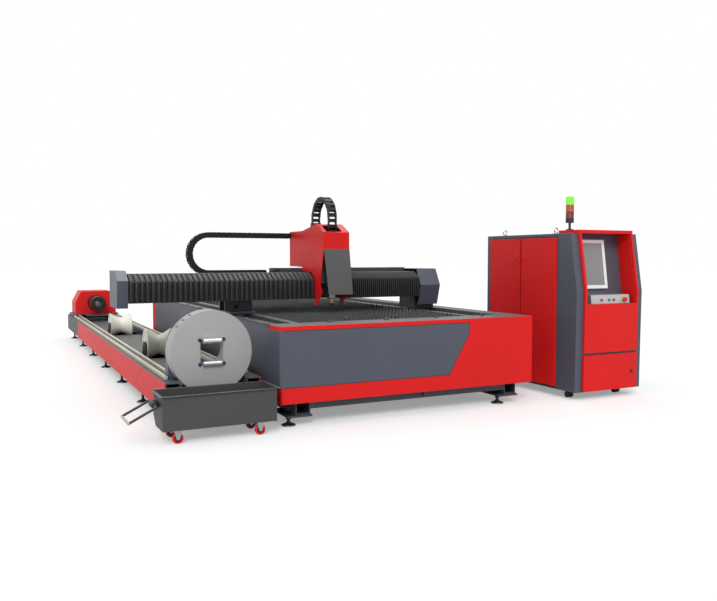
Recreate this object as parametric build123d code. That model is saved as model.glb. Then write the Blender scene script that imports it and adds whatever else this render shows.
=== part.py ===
from build123d import *
import math
import os

os.makedirs("parts", exist_ok=True)

# The origin is on the floor, under the centre of the flatbed's front left foot.
# X runs to the right, Y runs back along the beds, Z is up. All sizes are in millimetres.

# Flatbed, outside
bed_left = -100.0
bed_width = 2290.0
bed_front = -113.0
bed_length = 4640.0
deck_top = 749.0
skirt_bottom = 180.0
sheet = 4.0
corner_radius = 18.0
corner_leg = 26.0
panel_seam = 1.0
small_round_sides = 10
round_sides = 16
large_round_sides = 32
slate_proud = 7.0
lower_strip_height = 120.0
top_strip_height = 33.0
top_strip_return = 250.0
rear_strip_width = 197.0

# Slanted end of the slate panel on the front
slate_step_inset = 649.0
slate_step_drop = 83.0
slate_foot_inset = 843.0

# Flatbed, inside, from left to right
left_channel_width = 206.0
left_ledge_width = 55.0
comb_thickness = 10.0
right_ledge_width = 37.0
right_channel_width = 250.0
right_deck_width = 176.0
beam_top = 700.0
beam_wall = 10.0
front_deck_depth = 263.0
front_beam_height = 150.0
rear_beam_depth = 120.0
cross_member_size = 120.0
cross_member_count = 4
flange_width = 17.0
flange_height = 15.0

# Slats and their combs
slat_count = 24
slat_pitch = 128.0
slat_gap_to_deck = 6.0
slat_thickness = 4.0
slat_clearance = 0.5
slat_bottom = 655.0
slat_tip = 757.0
slat_tooth_count = 9
slat_tooth_depth = 14.0
comb_bottom = 640.0
shelf_thickness = 6.0

# Slag chute under the slats
chute_top = 545.0
chute_floor_z = 302.0
chute_floor_width = 470.0

# Ball transfers
ball_radius = 14.0
ball_rise = 9.0
ball_cup_radius = 19.0
ball_cup_height = 10.0
ball_cup_taper = 4.0
ball_crown = 0.8
front_ball_x = [383.0, 883.0, 1353.0, 1813.0]
front_ball_y = 97.0
rear_ball_x = [643.0, 1113.0, 1613.0]
rear_ball_y = 348.0
ball_post_radius = 12.0
ball_bar_width = 34.0
ball_bar_bottom = 560.0
ball_bar_height = 30.0

# Gantry rails on the side beams
rail_width = 30.0
rail_height = 28.0
rail_left_x = 5.0
rail_right_inset = 130.0
rail_end_margin = 290.0
rack_width = 18.0
rack_height = 24.0
rack_offset = 38.0

# Flatbed understructure and feet
right_foot_inset = 278.0
rear_foot_inset = 327.0
bed_foot_rows = 3
foot_pad_radius = 54.0
foot_rim_height = 9.0
foot_pad_height = 22.0
foot_stem_radius = 12.0
foot_plate_bottom = 66.0
foot_plate_thickness = 14.0
foot_plate_left = 28.0
foot_plate_right = 168.0
foot_plate_front = 60.0
foot_plate_back = 280.0
runner_left = 41.0
runner_right = 160.0
runner_front = -40.0
cap_radius = 27.0
cap_length = 20.0
cap_x = [167.0, 1167.0]
cap_z = 152.0
cross_tube_height = 60.0
cross_tube_depth = 80.0

# Gantry, at its resting place
beam_front = 1180.0
beam_depth = 287.0
beam_bottom = 874.0
beam_step_z = 1090.0
duct_depth = 92.0
duct_top = 1150.0
duct_overlap = 20.0
gantry_left = -962.0
gantry_right_inset = 23.0
gantry_wall = 12.0
x_rail_width = 34.0
x_rail_height = 28.0
x_rail_front_z = 930.0
x_rail_top_y = 1312.0
x_rail_top_height = 22.0
saddle_bottom = 752.0
saddle_thickness = 20.0
saddle_left = -85.0
saddle_right = 153.0
upright_left = -100.0
upright_thickness = 20.0
upright_front = 1290.0
upright_hole_radius = 17.5
upright_hole_z = 805.0
foot_block_overlap = 10.0
foot_block_front = 1177.0
foot_block_top = 786.0
block_half_width = 32.0
block_length = 90.0
block_bottom = 706.0
block_side_gap = 0.3
block_top_gap = 0.3

# Covers on the two ends of the gantry
cap_wall = 4.0
left_cap_left = -1049.0
right_cap_width = 220.0
left_cap_outline = [(1057.0, 1059.0), (1183.0, 1138.0), (1471.0, 1138.0), (1471.0, 834.0), (1092.0, 834.0)]
right_cap_outline = [(1052.0, 982.0), (1137.0, 1139.0), (1471.0, 1139.0), (1471.0, 790.0), (1107.0, 790.0)]

# Bellows over the beam
bellows_front = 1062.0
bellows_knee_z = 1054.0
bellows_top = 1112.0
bellows_chamfer = 100.0
bellows_back = 1300.0
bellows_thickness = 22.0
bellows_fold_depth = 13.0
left_fold_count = 37
right_fold_count = 40
bellows_head_gap = 1.0

# Cable chain tray behind the beam
tray_back = 1690.0
tray_top = 1080.0
tray_flange = 38.0
tray_end_gap = 3.0

# Cable chain along the gantry
x_chain_y = 1640.0
x_chain_radius = 175.0
x_chain_center_x = -152.0
x_chain_width = 78.0
x_chain_height = 50.0
x_chain_pitch = 96.0
x_chain_end_x = 400.0
link_wall = 7.0
link_shoulder = 0.4
link_bar_share = 0.46
link_end_gap = 0.5
x_chain_head_gap = 21.0

# Head cover
head_left = 675.0
head_right = 929.0
cover_wall = 4.0
cover_back = 1692.0
cover_top = 1496.0
cover_peak_y = 1037.0
cover_peak_z = 1548.0
cover_flat_y = 1369.0
cover_nose_y = 881.0
cover_nose_z = 1471.0
cover_mouth_z = 1307.0
cover_side_edge = [(905.0, 1181.0), (951.0, 1012.0), (907.0, 933.0), (1020.0, 820.0), (1089.0, 816.0), (1087.0, 1053.0)]
cover_shelf = [(1157.0, 1112.0), (1369.0, 1118.0), (1373.0, 1158.0)]
cover_shelf_back_z = 1164.0
hood_hole_left = 713.0
hood_hole_right = 863.0
hood_hole_front = 893.0
hood_hole_back = 1012.0

# Grey panel in front of the head
front_panel_top_z = 1322.0
front_panel_bottom_y = 837.0
front_panel_bottom_z = 918.0
front_panel_top = (680.0, 929.0)
front_panel_foot = (708.0, 944.0)

# Carriage inside the head cover
carriage_left = 700.0
carriage_right = 904.0
carriage_front = 1110.0
carriage_thickness = 30.0
carriage_bottom = 890.0
carriage_top = 1420.0
carriage_arm_z = 1126.0
carriage_arm_thickness = 20.0
carriage_arm_back = 1364.0
z_rail_x = [760.0, 846.0]
z_rail_width = 16.0
z_rail_depth = 14.0
z_rail_bottom = 905.0
z_slide_gap = 0.5

# Cable chain from the hood down to the cutting head
z_chain_x = 778.0
z_chain_front_y = 917.0
z_chain_radius = 185.0
z_chain_center_z = 1595.0
z_chain_width = 78.0
z_chain_height = 40.0
z_chain_pitch = 72.0
z_chain_bracket_top = 1568.0
z_chain_bracket_half = 45.0
z_arm_top = 1300.0

# Cutting head
head_axis_x = 803.0
slide_half_width = 65.0
slide_bottom = 1010.0
slide_top = 1310.0
slide_thickness = 18.0
body_half_width = 40.0
body_drop = 60.0
arm_thickness = 20.0
stack_collar_radius = 46.0
stack_neck_radius = 40.0
stack_foot_radius = 30.0
stack_collar_height = 48.0
stack_neck_height = 53.0
stack_ring_height = 19.0
stack_chamfer = 4.0
nozzle_tip_z = 810.0
nozzle_top_z = 852.0
nozzle_ring_radius = 23.0
nozzle_cone_radius = 14.0
nozzle_cone_height = 22.0
nozzle_tip_radius = 4.0

# Tube bed
tube_x = -527.0
tube_z = 563.0
tube_bed_width = 700.0
tube_bed_front = 110.0
tube_bed_length = 7127.0
tube_bed_bottom = 145.0
tube_bed_top = 362.0
tube_beam_width = 137.0
cradle_beam_width = 105.0
cradle_length = 230.0
cradle_floor_top = 240.0
tube_floor_thickness = 20.0
tube_beam_wall = 8.0
tube_panel_length = 5680.0
tube_panel_corner = 60.0
tube_deck_top = 305.0
tube_deck_thickness = 5.0
slot_half_length = 180.0
guide_rail_width = 22.0
guide_rail_height = 23.0
outer_rail_offset = 305.0
inner_rail_offset = 240.0
outer_rail_front = 300.0
tube_foot_first_y = 265.0
tube_foot_pitch = 1130.0
tube_foot_count = 7
tube_foot_offset = 275.0

# Front chuck
drum_radius = 303.0
drum_front = 167.0
drum_length = 150.0
chuck_hole_width = 168.0
stand_gap = 3.0
stand_depth = 100.0
stand_radius = 285.0
stand_hole_radius = 150.0
hub_clearance = 0.35
hub_bore_radius = 124.0
hub_length = 70.0
jaw_half_width = 55.0
jaw_height = 78.0
jaw_depth = 44.0
jaw_gap = 0.4
jaw_roller_radius = 17.0
jaw_roller_length = 140.0
jaw_inset = 6.0
jaw_cheek_height = 22.0
drum_web = 10.0
rim_slot_angles = [118.0, 130.0, 142.0]
rim_slot_depth = 12.0
rim_slot_length = 90.0
rim_slot_width = 16.0

# Roller supports along the tube bed
support_y = [2087.0, 4377.0]
roller_width = 245.0
roller_end_radius = 150.0
roller_waist_radius = 92.0
roller_steps = 4
roller_curve = 1.4
roller_z = 415.0
roller_bore_radius = 16.0
roller_shaft_gap = 0.35
roller_side_gap = 0.4
bracket_plate = 12.0
bracket_bottom = 264.0
bracket_base_thickness = 14.0
bracket_arm_half = 45.0
bracket_arm_rise = 30.0
bracket_base_half = 120.0
guide_rod_radius = 15.0
guide_rod_offset = 100.0
guide_rod_bottom = 135.0
guide_rod_gap = 0.35

# Rear chuck
rear_chuck_inset = 547.0
rear_chuck_depth = 500.0
rear_chuck_half_width = 290.0
rear_chuck_shoulder = 205.0
rear_chuck_height = 377.0
rear_rail_gap = 0.3
rear_shoe_gap = 3.0
rear_guide_width = 14.0
rear_base_thickness = 14.0
rear_apron_half = 160.0
rear_apron_length = 330.0
rear_shoe_length = 80.0
rear_shoe_inset = 20.0
rear_shoulder_share = 0.52
rear_body_radius = 107.0
rear_body_length = 348.0
rear_neck_radius = 86.0
rear_ring_radius = 120.0
rear_ring_length = 16.0
rear_bore_radius = 52.0
rear_jaw_width = 40.0
rear_jaw_reach = 34.0
rear_jaw_inset = 6.0
rear_jaw_length = 60.0

# Scrap trolley
bin_left = -967.0
bin_right = -167.0
bin_front = -213.0
bin_back = 87.0
bin_bottom = 95.0
bin_top = 332.0
bin_wall = 4.0
bin_rim = 20.0
bin_chamfer = 70.0
wheel_radius = 37.5
wheel_width = 28.0
wheel_x = [-859.0, -280.0]
wheel_y = [-172.0, 35.0]
fork_gap = 0.4
axle_radius = 6.0
axle_sides = 12
axle_gap = 0.4
fork_thickness = 4.0
fork_half_length = 24.0
fork_foot_half = 10.0
fork_crown_gap = 4.0
handle_pivot_x = -1000.0
handle_pivot_z = 262.0
handle_end_x = -1182.0
handle_end_z = 170.0
handle_half_width = 130.0
handle_rod_radius = 9.0
handle_hole_gap = 0.35
handle_rod_sides = 8
handle_block_half_height = 16.0
handle_block_half = 50.0

# Control cabinet
cabinet_left = 2563.0
cabinet_width = 770.0
cabinet_front_foot = -235.0
cabinet_nose_y = -244.0
cabinet_nose_z = 951.0
cabinet_front_top = -158.0
cabinet_back = 1037.0
cabinet_bottom = 70.0
cabinet_top = 1460.0
cabinet_wall = 6.0
cover_left = 2640.0
cover_right = 3270.0
cover_proud = 22.0
recess_left = 2665.0
recess_right = 3250.0
recess_bottom = 840.0
recess_back_top = -6.0
recess_back_bottom = -96.0
mid_panel_bottom = 412.0
door_gap = 0.5
door_skin = 3.0
lower_door_bottom = 75.0
lower_door_top = 392.0
lock_x = 3204.0
lock_z = 227.0
lock_radius = 14.0
lock_height = 8.0
roof_back = 83.0
roof_thickness = 30.0
monitor_left = 2720.0
monitor_right = 3050.0
monitor_bottom = 970.0
monitor_top = 1407.0
monitor_thickness = 36.0
monitor_margin = 30.0
monitor_lip = 6.0
strip_left = 2750.0
strip_right = 3206.0
strip_top_z = 917.0
strip_front_foot = -226.0
strip_front_head = -214.0
button_z = 872.0
button_radius = 11.0
button_travel = 5.0
button_head_length = 9.0
button_hole_gap = 0.8
button_back_gap = 2.0
button_depth = 16.0
lamp_x = 2870.0
green_x = 2960.0
red_x = 3015.0
stop_x = 3140.0
stop_head_radius = 20.0
stop_head_height = 12.0
stop_head_gap = 4.0
side_door_thickness = 16.0
side_door_bottom = 95.0
side_door_top = 1425.0
front_side_door = (11.0, 487.0)
rear_side_door = (509.0, 970.0)
door_return = 30.0
side_lock_z = 1228.0
side_lock_offset = 45.0
side_lock_half_width = 16.0
side_lock_half_height = 50.0
eye_places = [(2633.0, 110.0), (2633.0, 850.0), (3263.0, 300.0), (3263.0, 850.0)]
eye_ring_radius = 26.0
eye_hole_radius = 16.0
eye_thickness = 12.0
eye_collar_radius = 20.0
eye_collar_height = 12.0
eye_sink = 4.0
tower_x = 2683.0
tower_y = -9.0
tower_radius = 36.0
tower_flange_radius = 34.0
tower_flange_height = 8.0
tower_flange_slope = 6.0
tower_pole_radius = 11.0
tower_pole_top = 1556.0
tower_base_top = 1592.0
tower_lens_tops = [1655.0, 1717.0, 1789.0]
castor_x = [2650.0, 3209.0]
castor_y = [-70.0, 900.0]
castor_radius = 30.0
castor_wheel_width = 20.0
castor_wheel_spacing = 34.0
castor_plate_half = 40.0
castor_plate_thickness = 6.0
castor_leg_half = 22.0
castor_leg_drop = 8.0

# Places worked out from the sizes above
bed_right = bed_left + bed_width
bed_back = bed_front + bed_length
skin_left = bed_left + sheet
skin_right = bed_right - sheet
skin_front = bed_front + sheet
skin_back = bed_back - sheet
deck_under = deck_top - sheet
channel_left_end = skin_left + left_channel_width
comb_left = channel_left_end + left_ledge_width
table_left = comb_left + comb_thickness
right_channel_end = skin_right - right_deck_width
right_beam_left = right_channel_end - right_channel_width
comb_right = right_beam_left - right_ledge_width
table_right = comb_right - comb_thickness
rail_right_x = right_beam_left + rail_right_inset
slate_step_x = bed_right - slate_step_inset
slate_foot_x = bed_right - slate_foot_inset
bed_foot_x = [0.0, bed_right - right_foot_inset]
bed_foot_pitch = (bed_back - rear_foot_inset) / (bed_foot_rows - 1)
front_deck_back = bed_front + front_deck_depth
comb_top = deck_under
ledge_under = deck_under - sheet
side_beam_front = skin_front + corner_leg
slat_first_y = front_deck_back + slat_gap_to_deck
slat_last_y = slat_first_y + (slat_count - 1) * slat_pitch
slat_field_back = slat_last_y + slat_gap_to_deck + slat_thickness
slate_bottom = skirt_bottom + lower_strip_height
slate_top = deck_top - top_strip_height
gantry_right = right_beam_left + gantry_right_inset
right_cap_right = gantry_right + right_cap_width
beam_back = beam_front + beam_depth
duct_front = beam_back - duct_depth
duct_left = x_chain_end_x - duct_overlap
head_axis_y = slat_first_y + 6.5 * slat_pitch
tray_middle_z = tray_top + x_chain_height / 2
x_chain_top_z = tray_middle_z + 2 * x_chain_radius
tube_bed_left = tube_x - tube_bed_width / 2
tube_bed_right = tube_x + tube_bed_width / 2
tube_bed_back = tube_bed_front + tube_bed_length
cradle_back = tube_bed_front + cradle_length
tube_trough_left = tube_bed_left + tube_beam_width
tube_trough_right = tube_bed_right - tube_beam_width
tube_floor_top = tube_bed_bottom + tube_floor_thickness
guide_rail_top = tube_bed_top + guide_rail_height
rear_chuck_front = tube_bed_back - rear_chuck_inset
rear_body_front = rear_chuck_front - rear_body_length
drum_back = drum_front + drum_length
stand_front = drum_back + stand_gap
stand_back = stand_front + stand_depth
roller_half = roller_width / 2
cabinet_right = cabinet_left + cabinet_width


def block(x0, x1, y0, y1, z0, z1):
    """A rectangular block between two opposite corners."""
    size = Box(x1 - x0, y1 - y0, z1 - z0)
    return Pos((x0 + x1) / 2, (y0 + y1) / 2, (z0 + z1) / 2) * size


def prism_x(outline, x0, x1):
    """A Y-Z outline carried along X."""
    face = Plane.YZ.offset(x0) * Polygon(*outline)
    return extrude(face, x1 - x0, dir=(1, 0, 0))


def prism_y(outline, y0, y1):
    """An X-Z outline carried along Y."""
    plane = Plane((0, y0, 0), x_dir=(1, 0, 0), z_dir=(0, -1, 0))
    return extrude(plane * Polygon(*outline), y1 - y0, dir=(0, 1, 0))


def prism_z(outline, z0, z1):
    """An X-Y outline carried along Z."""
    face = Plane.XY.offset(z0) * Polygon(*outline)
    return extrude(face, z1 - z0, dir=(0, 0, 1))


def rod_x(x0, x1, y, z, radius):
    """A round bar along X."""
    return Pos((x0 + x1) / 2, y, z) * Rot(0, 90, 0) * Cylinder(radius, x1 - x0)


def rod_y(x, y0, y1, z, radius):
    """A round bar along Y."""
    return Pos(x, (y0 + y1) / 2, z) * Rot(90, 0, 0) * Cylinder(radius, y1 - y0)


def rod_z(x, y, z0, z1, radius):
    """A round bar along Z."""
    return Pos(x, y, (z0 + z1) / 2) * Cylinder(radius, z1 - z0)


def flat_faced(sections):
    """A solid with flat faces between matching closed outlines, capped at both ends."""
    faces = [Face(Wire.make_polygon(sections[0])), Face(Wire.make_polygon(sections[-1]))]
    for near, far in zip(sections, sections[1:]):
        for index in range(len(near)):
            after = (index + 1) % len(near)
            corners = [near[index], near[after], far[after], far[index]]
            faces.append(Face(Wire.make_polygon(corners)))
    return Solid(Shell(faces)).clean()


def many_sided(profile, sides):
    """A turned shape with flat sides on the Z axis, from radius and height pairs, bottom first."""
    sections = []
    for radius, z in profile:
        turns = [2 * math.pi * index / sides for index in range(sides)]
        sections.append([(radius * math.cos(turn), radius * math.sin(turn), z) for turn in turns])
    return flat_faced(sections)


def many_sided_bar_x(x0, x1, y, z, radius, sides):
    """A straight bar with flat sides along X."""
    return Pos(x0, y, z) * Rot(0, 90, 0) * many_sided([(radius, 0), (radius, x1 - x0)], sides)


def many_sided_bar_y(x, y0, y1, z, radius, sides):
    """A straight bar with flat sides along Y."""
    return Pos(x, y0, z) * Rot(-90, 0, 0) * many_sided([(radius, 0), (radius, y1 - y0)], sides)


def tube_y(x0, x1, y0, y1, z0, z1, wall):
    """A rectangular hollow section along Y, open at both ends."""
    inside = block(x0 + wall, x1 - wall, y0 - 1, y1 + 1, z0 + wall, z1 - wall)
    return block(x0, x1, y0, y1, z0, z1) - inside


def tube_x_section(x0, x1, y0, y1, z0, z1, wall):
    """A rectangular hollow section along X, open at both ends."""
    inside = block(x0 - 1, x1 + 1, y0 + wall, y1 - wall, z0 + wall, z1 - wall)
    return block(x0, x1, y0, y1, z0, z1) - inside


def folded_corner(x0, y0, x1, y1, thickness, radius, z0, z1):
    """A sheet across the front that turns back round a rounded corner."""
    outer = Polygon((x0, y0), (x1, y0), (x1, y1), (x0, y1))
    outer = fillet(outer.vertices().sort_by(lambda v: v.X + v.Y)[0], radius)
    left = x0 + thickness
    front = y0 + thickness
    inner = Polygon((left, front), (x1 + 1, front), (x1 + 1, y1 + 1), (left, y1 + 1))
    inner = fillet(inner.vertices().sort_by(lambda v: v.X + v.Y)[0], radius - thickness)
    return extrude(Plane.XY.offset(z0) * (outer - inner), z1 - z0, dir=(0, 0, 1))


def save(name, *pieces):
    """Write every solid of one node."""
    solids = [solid for piece in pieces for solid in piece.solids()]
    shape = solids[0] if len(solids) == 1 else Compound(solids)
    export_step(shape, f"parts/{name}.step")


# Flatbed table

def bed_frame():
    """Side beams, cross beams, chute sheets, runners and foot plates."""
    left_beam = tube_y(skin_left, channel_left_end, side_beam_front, skin_back, skirt_bottom, beam_top, beam_wall)
    right_beam = tube_y(right_beam_left, skin_right, side_beam_front, skin_back, skirt_bottom, beam_top, beam_wall)
    front_beam = tube_x_section(
        channel_left_end, right_beam_left, skin_front, front_deck_back,
        deck_under - front_beam_height, deck_under, beam_wall)
    rear_beam = tube_x_section(
        channel_left_end, right_beam_left, skin_back - rear_beam_depth, skin_back,
        deck_under - front_beam_height, deck_under, beam_wall)
    pieces = [left_beam, right_beam, front_beam, rear_beam]
    member_pitch = (skin_back - skin_front - cross_member_size) / (cross_member_count - 1)
    member_top = skirt_bottom + cross_member_size
    for index in range(cross_member_count):
        front = skin_front + index * member_pitch
        pieces.append(tube_x_section(
            channel_left_end, right_beam_left, front, front + cross_member_size,
            skirt_bottom, member_top, beam_wall))
    middle = (channel_left_end + right_beam_left) / 2
    floor_left = middle - chute_floor_width / 2
    floor_right = middle + chute_floor_width / 2
    chute_front = front_deck_back
    chute_back = skin_back - rear_beam_depth
    floor_top = chute_floor_z + sheet
    slope_drop = 2 * sheet
    left_slope = [
        (channel_left_end, chute_top), (channel_left_end, chute_top - slope_drop),
        (floor_left, floor_top - slope_drop), (floor_left, floor_top)]
    right_slope = [
        (right_beam_left, chute_top), (right_beam_left, chute_top - slope_drop),
        (floor_right, floor_top - slope_drop), (floor_right, floor_top)]
    pieces.append(prism_y(left_slope, chute_front, chute_back))
    pieces.append(prism_y(right_slope, chute_front, chute_back))
    pieces.append(block(floor_left, floor_right, chute_front, chute_back, chute_floor_z, floor_top))
    bar_front = rear_ball_y - ball_bar_width / 2
    bar_back = rear_ball_y + ball_bar_width / 2
    pieces.append(block(
        channel_left_end, right_beam_left, bar_front, bar_back,
        ball_bar_bottom, ball_bar_bottom + ball_bar_height))
    runner_bottom = foot_plate_bottom + foot_plate_thickness
    runner_back = (bed_foot_rows - 1) * bed_foot_pitch + foot_plate_back
    for foot_x in bed_foot_x:
        runner = tube_y(
            foot_x + runner_left, foot_x + runner_right, runner_front, runner_back,
            runner_bottom, skirt_bottom, beam_wall)
        for row in range(bed_foot_rows):
            foot_y = row * bed_foot_pitch
            runner += block(
                foot_x - foot_plate_left, foot_x + foot_plate_right,
                foot_y - foot_plate_front, foot_y + foot_plate_back,
                foot_plate_bottom, runner_bottom)
        pieces.append(runner)
    tube_left = bed_foot_x[0] + runner_right
    tube_right = bed_foot_x[1] + runner_left
    tube_bottom = skirt_bottom - cross_tube_height
    pieces.append(tube_x_section(
        tube_left, tube_right, runner_front, runner_front + cross_tube_depth,
        tube_bottom, skirt_bottom, beam_wall / 2))
    for x in cap_x:
        pieces.append(many_sided_bar_y(
            x, runner_front - cap_length, runner_front, cap_z, cap_radius, round_sides))
    save("bed_frame", *pieces)


def bed_red_panels():
    """The painted skin: front sheet with a cut-out, two sides and the back."""
    corner_back = bed_front + corner_leg
    front = folded_corner(
        bed_left, bed_front, bed_right, corner_back, sheet, corner_radius, skirt_bottom, deck_top)
    window = [
        (bed_left - 1, slate_bottom), (bed_left - 1, slate_top), (slate_step_x, slate_top),
        (slate_step_x, slate_top - slate_step_drop), (slate_foot_x, slate_bottom)]
    front -= prism_y(window, bed_front - 1, corner_back + 1)
    side_front = corner_back
    flange_bottom = deck_top + 1 - flange_height
    rear_strip_front = bed_back - rear_strip_width
    return_back = bed_front + top_strip_return
    side_outline = [
        (side_front, skirt_bottom), (skin_back, skirt_bottom), (skin_back, deck_top),
        (rear_strip_front, deck_top), (rear_strip_front, flange_bottom), (return_back, flange_bottom),
        (return_back, deck_top), (side_front, deck_top)]
    left = prism_x(side_outline, bed_left, skin_left)
    right_outline = [
        (skin_front, skirt_bottom), (skin_back, skirt_bottom), (skin_back, deck_top), (skin_front, deck_top)]
    right = prism_x(right_outline, skin_right, bed_right)
    back = block(bed_left, bed_right, skin_back, bed_back, skirt_bottom, deck_top)
    save("bed_red_panels", front, left, right, back)


def bed_grey_panels():
    """Slate panels: front with its slanted end, both sides and the back."""
    outer_x = bed_left - slate_proud
    front_face = bed_front - panel_seam
    low = slate_bottom + panel_seam
    high = slate_top - panel_seam
    leg = bed_front + corner_leg - panel_seam
    front = folded_corner(
        outer_x, front_face, slate_step_x, leg, sheet + panel_seam, corner_radius, low, high)
    step_z = slate_top - slate_step_drop
    slant = [
        (slate_step_x - panel_seam, high + 1), (slate_step_x - panel_seam, step_z),
        (slate_foot_x - panel_seam, low), (slate_foot_x - panel_seam, low - 1),
        (slate_step_x + 1, low - 1), (slate_step_x + 1, high + 1)]
    front -= prism_y(slant, front_face - 1, skin_front + 1)
    rear = bed_back - rear_strip_width
    return_back = bed_front + top_strip_return
    flange_bottom = deck_top + 1 - flange_height
    side_outline = [
        (leg + panel_seam, low), (rear, low), (rear, flange_bottom), (return_back, flange_bottom),
        (return_back, high), (leg + panel_seam, high)]
    left = prism_x(side_outline, outer_x, bed_left)
    right_outline = [
        (return_back, low), (rear, low), (rear, flange_bottom), (return_back, flange_bottom)]
    right = prism_x(right_outline, bed_right, bed_right + slate_proud)
    back = block(
        bed_left + rear_strip_width, bed_right - rear_strip_width,
        bed_back, bed_back + slate_proud, low, high)
    save("bed_grey_panels", front, left, right, back)


def bed_deck():
    """Deck plate in front, ledges beside the slats, right deck, rear deck and left flange."""
    plate = Polygon(
        (skin_left, skin_front), (skin_right, skin_front), (skin_right, front_deck_back),
        (skin_left, front_deck_back))
    plate = fillet(plate.vertices().sort_by(lambda v: v.X + v.Y)[0], corner_radius - sheet)
    front = extrude(Plane.XY.offset(deck_under) * plate, sheet, dir=(0, 0, 1))
    left_ledge = prism_y([
        (channel_left_end - sheet, beam_top), (channel_left_end - sheet, deck_under), (comb_left, deck_under),
        (comb_left, ledge_under), (channel_left_end, ledge_under), (channel_left_end, beam_top)],
        front_deck_back, skin_back - rear_beam_depth)
    right_ledge = prism_y([
        (right_beam_left + sheet, beam_top), (right_beam_left + sheet, deck_under), (comb_right, deck_under),
        (comb_right, ledge_under), (right_beam_left, ledge_under), (right_beam_left, beam_top)],
        front_deck_back, skin_back - rear_beam_depth)
    right_deck = prism_y([
        (right_channel_end, beam_top), (right_channel_end, deck_top), (skin_right, deck_top),
        (skin_right, deck_under), (right_channel_end + sheet, deck_under), (right_channel_end + sheet, beam_top)],
        front_deck_back, skin_back)
    rear = block(channel_left_end - sheet, right_beam_left + sheet, slat_field_back, skin_back, deck_under, deck_top)
    flange_top = deck_top + 1
    flange_left = bed_left - slate_proud
    flange = block(
        flange_left, flange_left + flange_width, bed_front + top_strip_return, bed_back - rear_strip_width,
        flange_top - flange_height, flange_top)
    save("bed_deck", front, left_ledge, right_ledge, right_deck, rear, flange)


def cutting_slats():
    """Upright plates across the table, each with a row of points."""
    left = comb_left
    right = comb_right
    tooth_pitch = (right - left) / slat_tooth_count
    root = slat_tip - slat_tooth_depth
    outline = [(right, slat_bottom), (left, slat_bottom), (left, root)]
    for index in range(slat_tooth_count):
        tooth_left = left + index * tooth_pitch
        outline.append((tooth_left + tooth_pitch / 2, slat_tip))
        outline.append((tooth_left + tooth_pitch, root))
    slat = prism_y(outline, slat_first_y - slat_thickness / 2, slat_first_y + slat_thickness / 2)
    slats = [Pos(0, index * slat_pitch, 0) * slat for index in range(slat_count)]
    save("cutting_slats", *slats)


def comb_outline():
    """Side view of a comb: a long plate with a slot for every slat."""
    back = slat_field_back
    outline = [(back, comb_bottom), (front_deck_back, comb_bottom), (front_deck_back, comb_top)]
    half = slat_thickness / 2 + slat_clearance
    for index in range(slat_count):
        y = slat_first_y + index * slat_pitch
        outline += [(y - half, comb_top), (y - half, slat_bottom), (y + half, slat_bottom), (y + half, comb_top)]
    outline.append((back, comb_top))
    return outline


def slat_rack():
    """Combs that hold the slats, each on a shelf welded to its side beam."""
    outline = comb_outline()
    back = slat_field_back
    left = prism_x(outline, comb_left, table_left)
    left += block(channel_left_end, table_left, front_deck_back, back, comb_bottom - shelf_thickness, comb_bottom)
    right = prism_x(outline, table_right, comb_right)
    right += block(table_right, right_beam_left, front_deck_back, back, comb_bottom - shelf_thickness, comb_bottom)
    save("slat_rack", left, right)


def transfer_balls():
    """Steel balls in cups, on the front deck and on posts between two slats."""
    center_z = ball_cup_height + ball_rise - ball_radius
    middle_z = ball_cup_height + ball_rise / 2
    crown_z = ball_cup_height + ball_rise - ball_crown
    profile = [(ball_cup_radius, 0), (ball_cup_radius - ball_cup_taper, ball_cup_height)]
    for z in (ball_cup_height, middle_z, crown_z):
        profile.append((math.sqrt(ball_radius ** 2 - (z - center_z) ** 2), z))
    unit = many_sided(profile, small_round_sides)
    post_height = deck_top - ball_bar_bottom - ball_bar_height
    post = many_sided([(ball_post_radius, -post_height), (ball_post_radius, 0)], small_round_sides)
    pieces = [Pos(x, front_ball_y, deck_top) * unit for x in front_ball_x]
    pieces += [Pos(x, rear_ball_y, deck_top) * (unit + post) for x in rear_ball_x]
    save("transfer_balls", *pieces)


def gantry_rails():
    """Two guide rails with a rack beside each, on the side beams."""
    pieces = []
    back = skin_back - rail_end_margin
    for x, side in ((rail_left_x, 1), (rail_right_x, -1)):
        pieces.append(block(
            x - rail_width / 2, x + rail_width / 2, front_deck_back, back, beam_top, beam_top + rail_height))
        rack_x = x + side * (rack_offset + rack_width / 2)
        pieces.append(block(
            rack_x - rack_width / 2, rack_x + rack_width / 2, front_deck_back, back,
            beam_top, beam_top + rack_height))
    save("gantry_rails", *pieces)


def foot(x, y, top):
    """A levelling foot: domed pad and a slim stem."""
    pad = many_sided([
        (foot_pad_radius, 0), (foot_pad_radius, foot_rim_height), (foot_stem_radius, foot_pad_height),
        (foot_stem_radius, top)], small_round_sides)
    return Pos(x, y, 0) * pad


def levelling_feet():
    """Feet under the flatbed and under the tube bed."""
    pieces = []
    for x in bed_foot_x:
        for row in range(bed_foot_rows):
            pieces.append(foot(x, row * bed_foot_pitch, foot_plate_bottom))
    for side in (-1, 1):
        for row in range(tube_foot_count):
            y = tube_foot_first_y + row * tube_foot_pitch
            pieces.append(foot(tube_x + side * tube_foot_offset, y, tube_bed_bottom))
    save("levelling_feet", *pieces)


# Gantry

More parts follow.
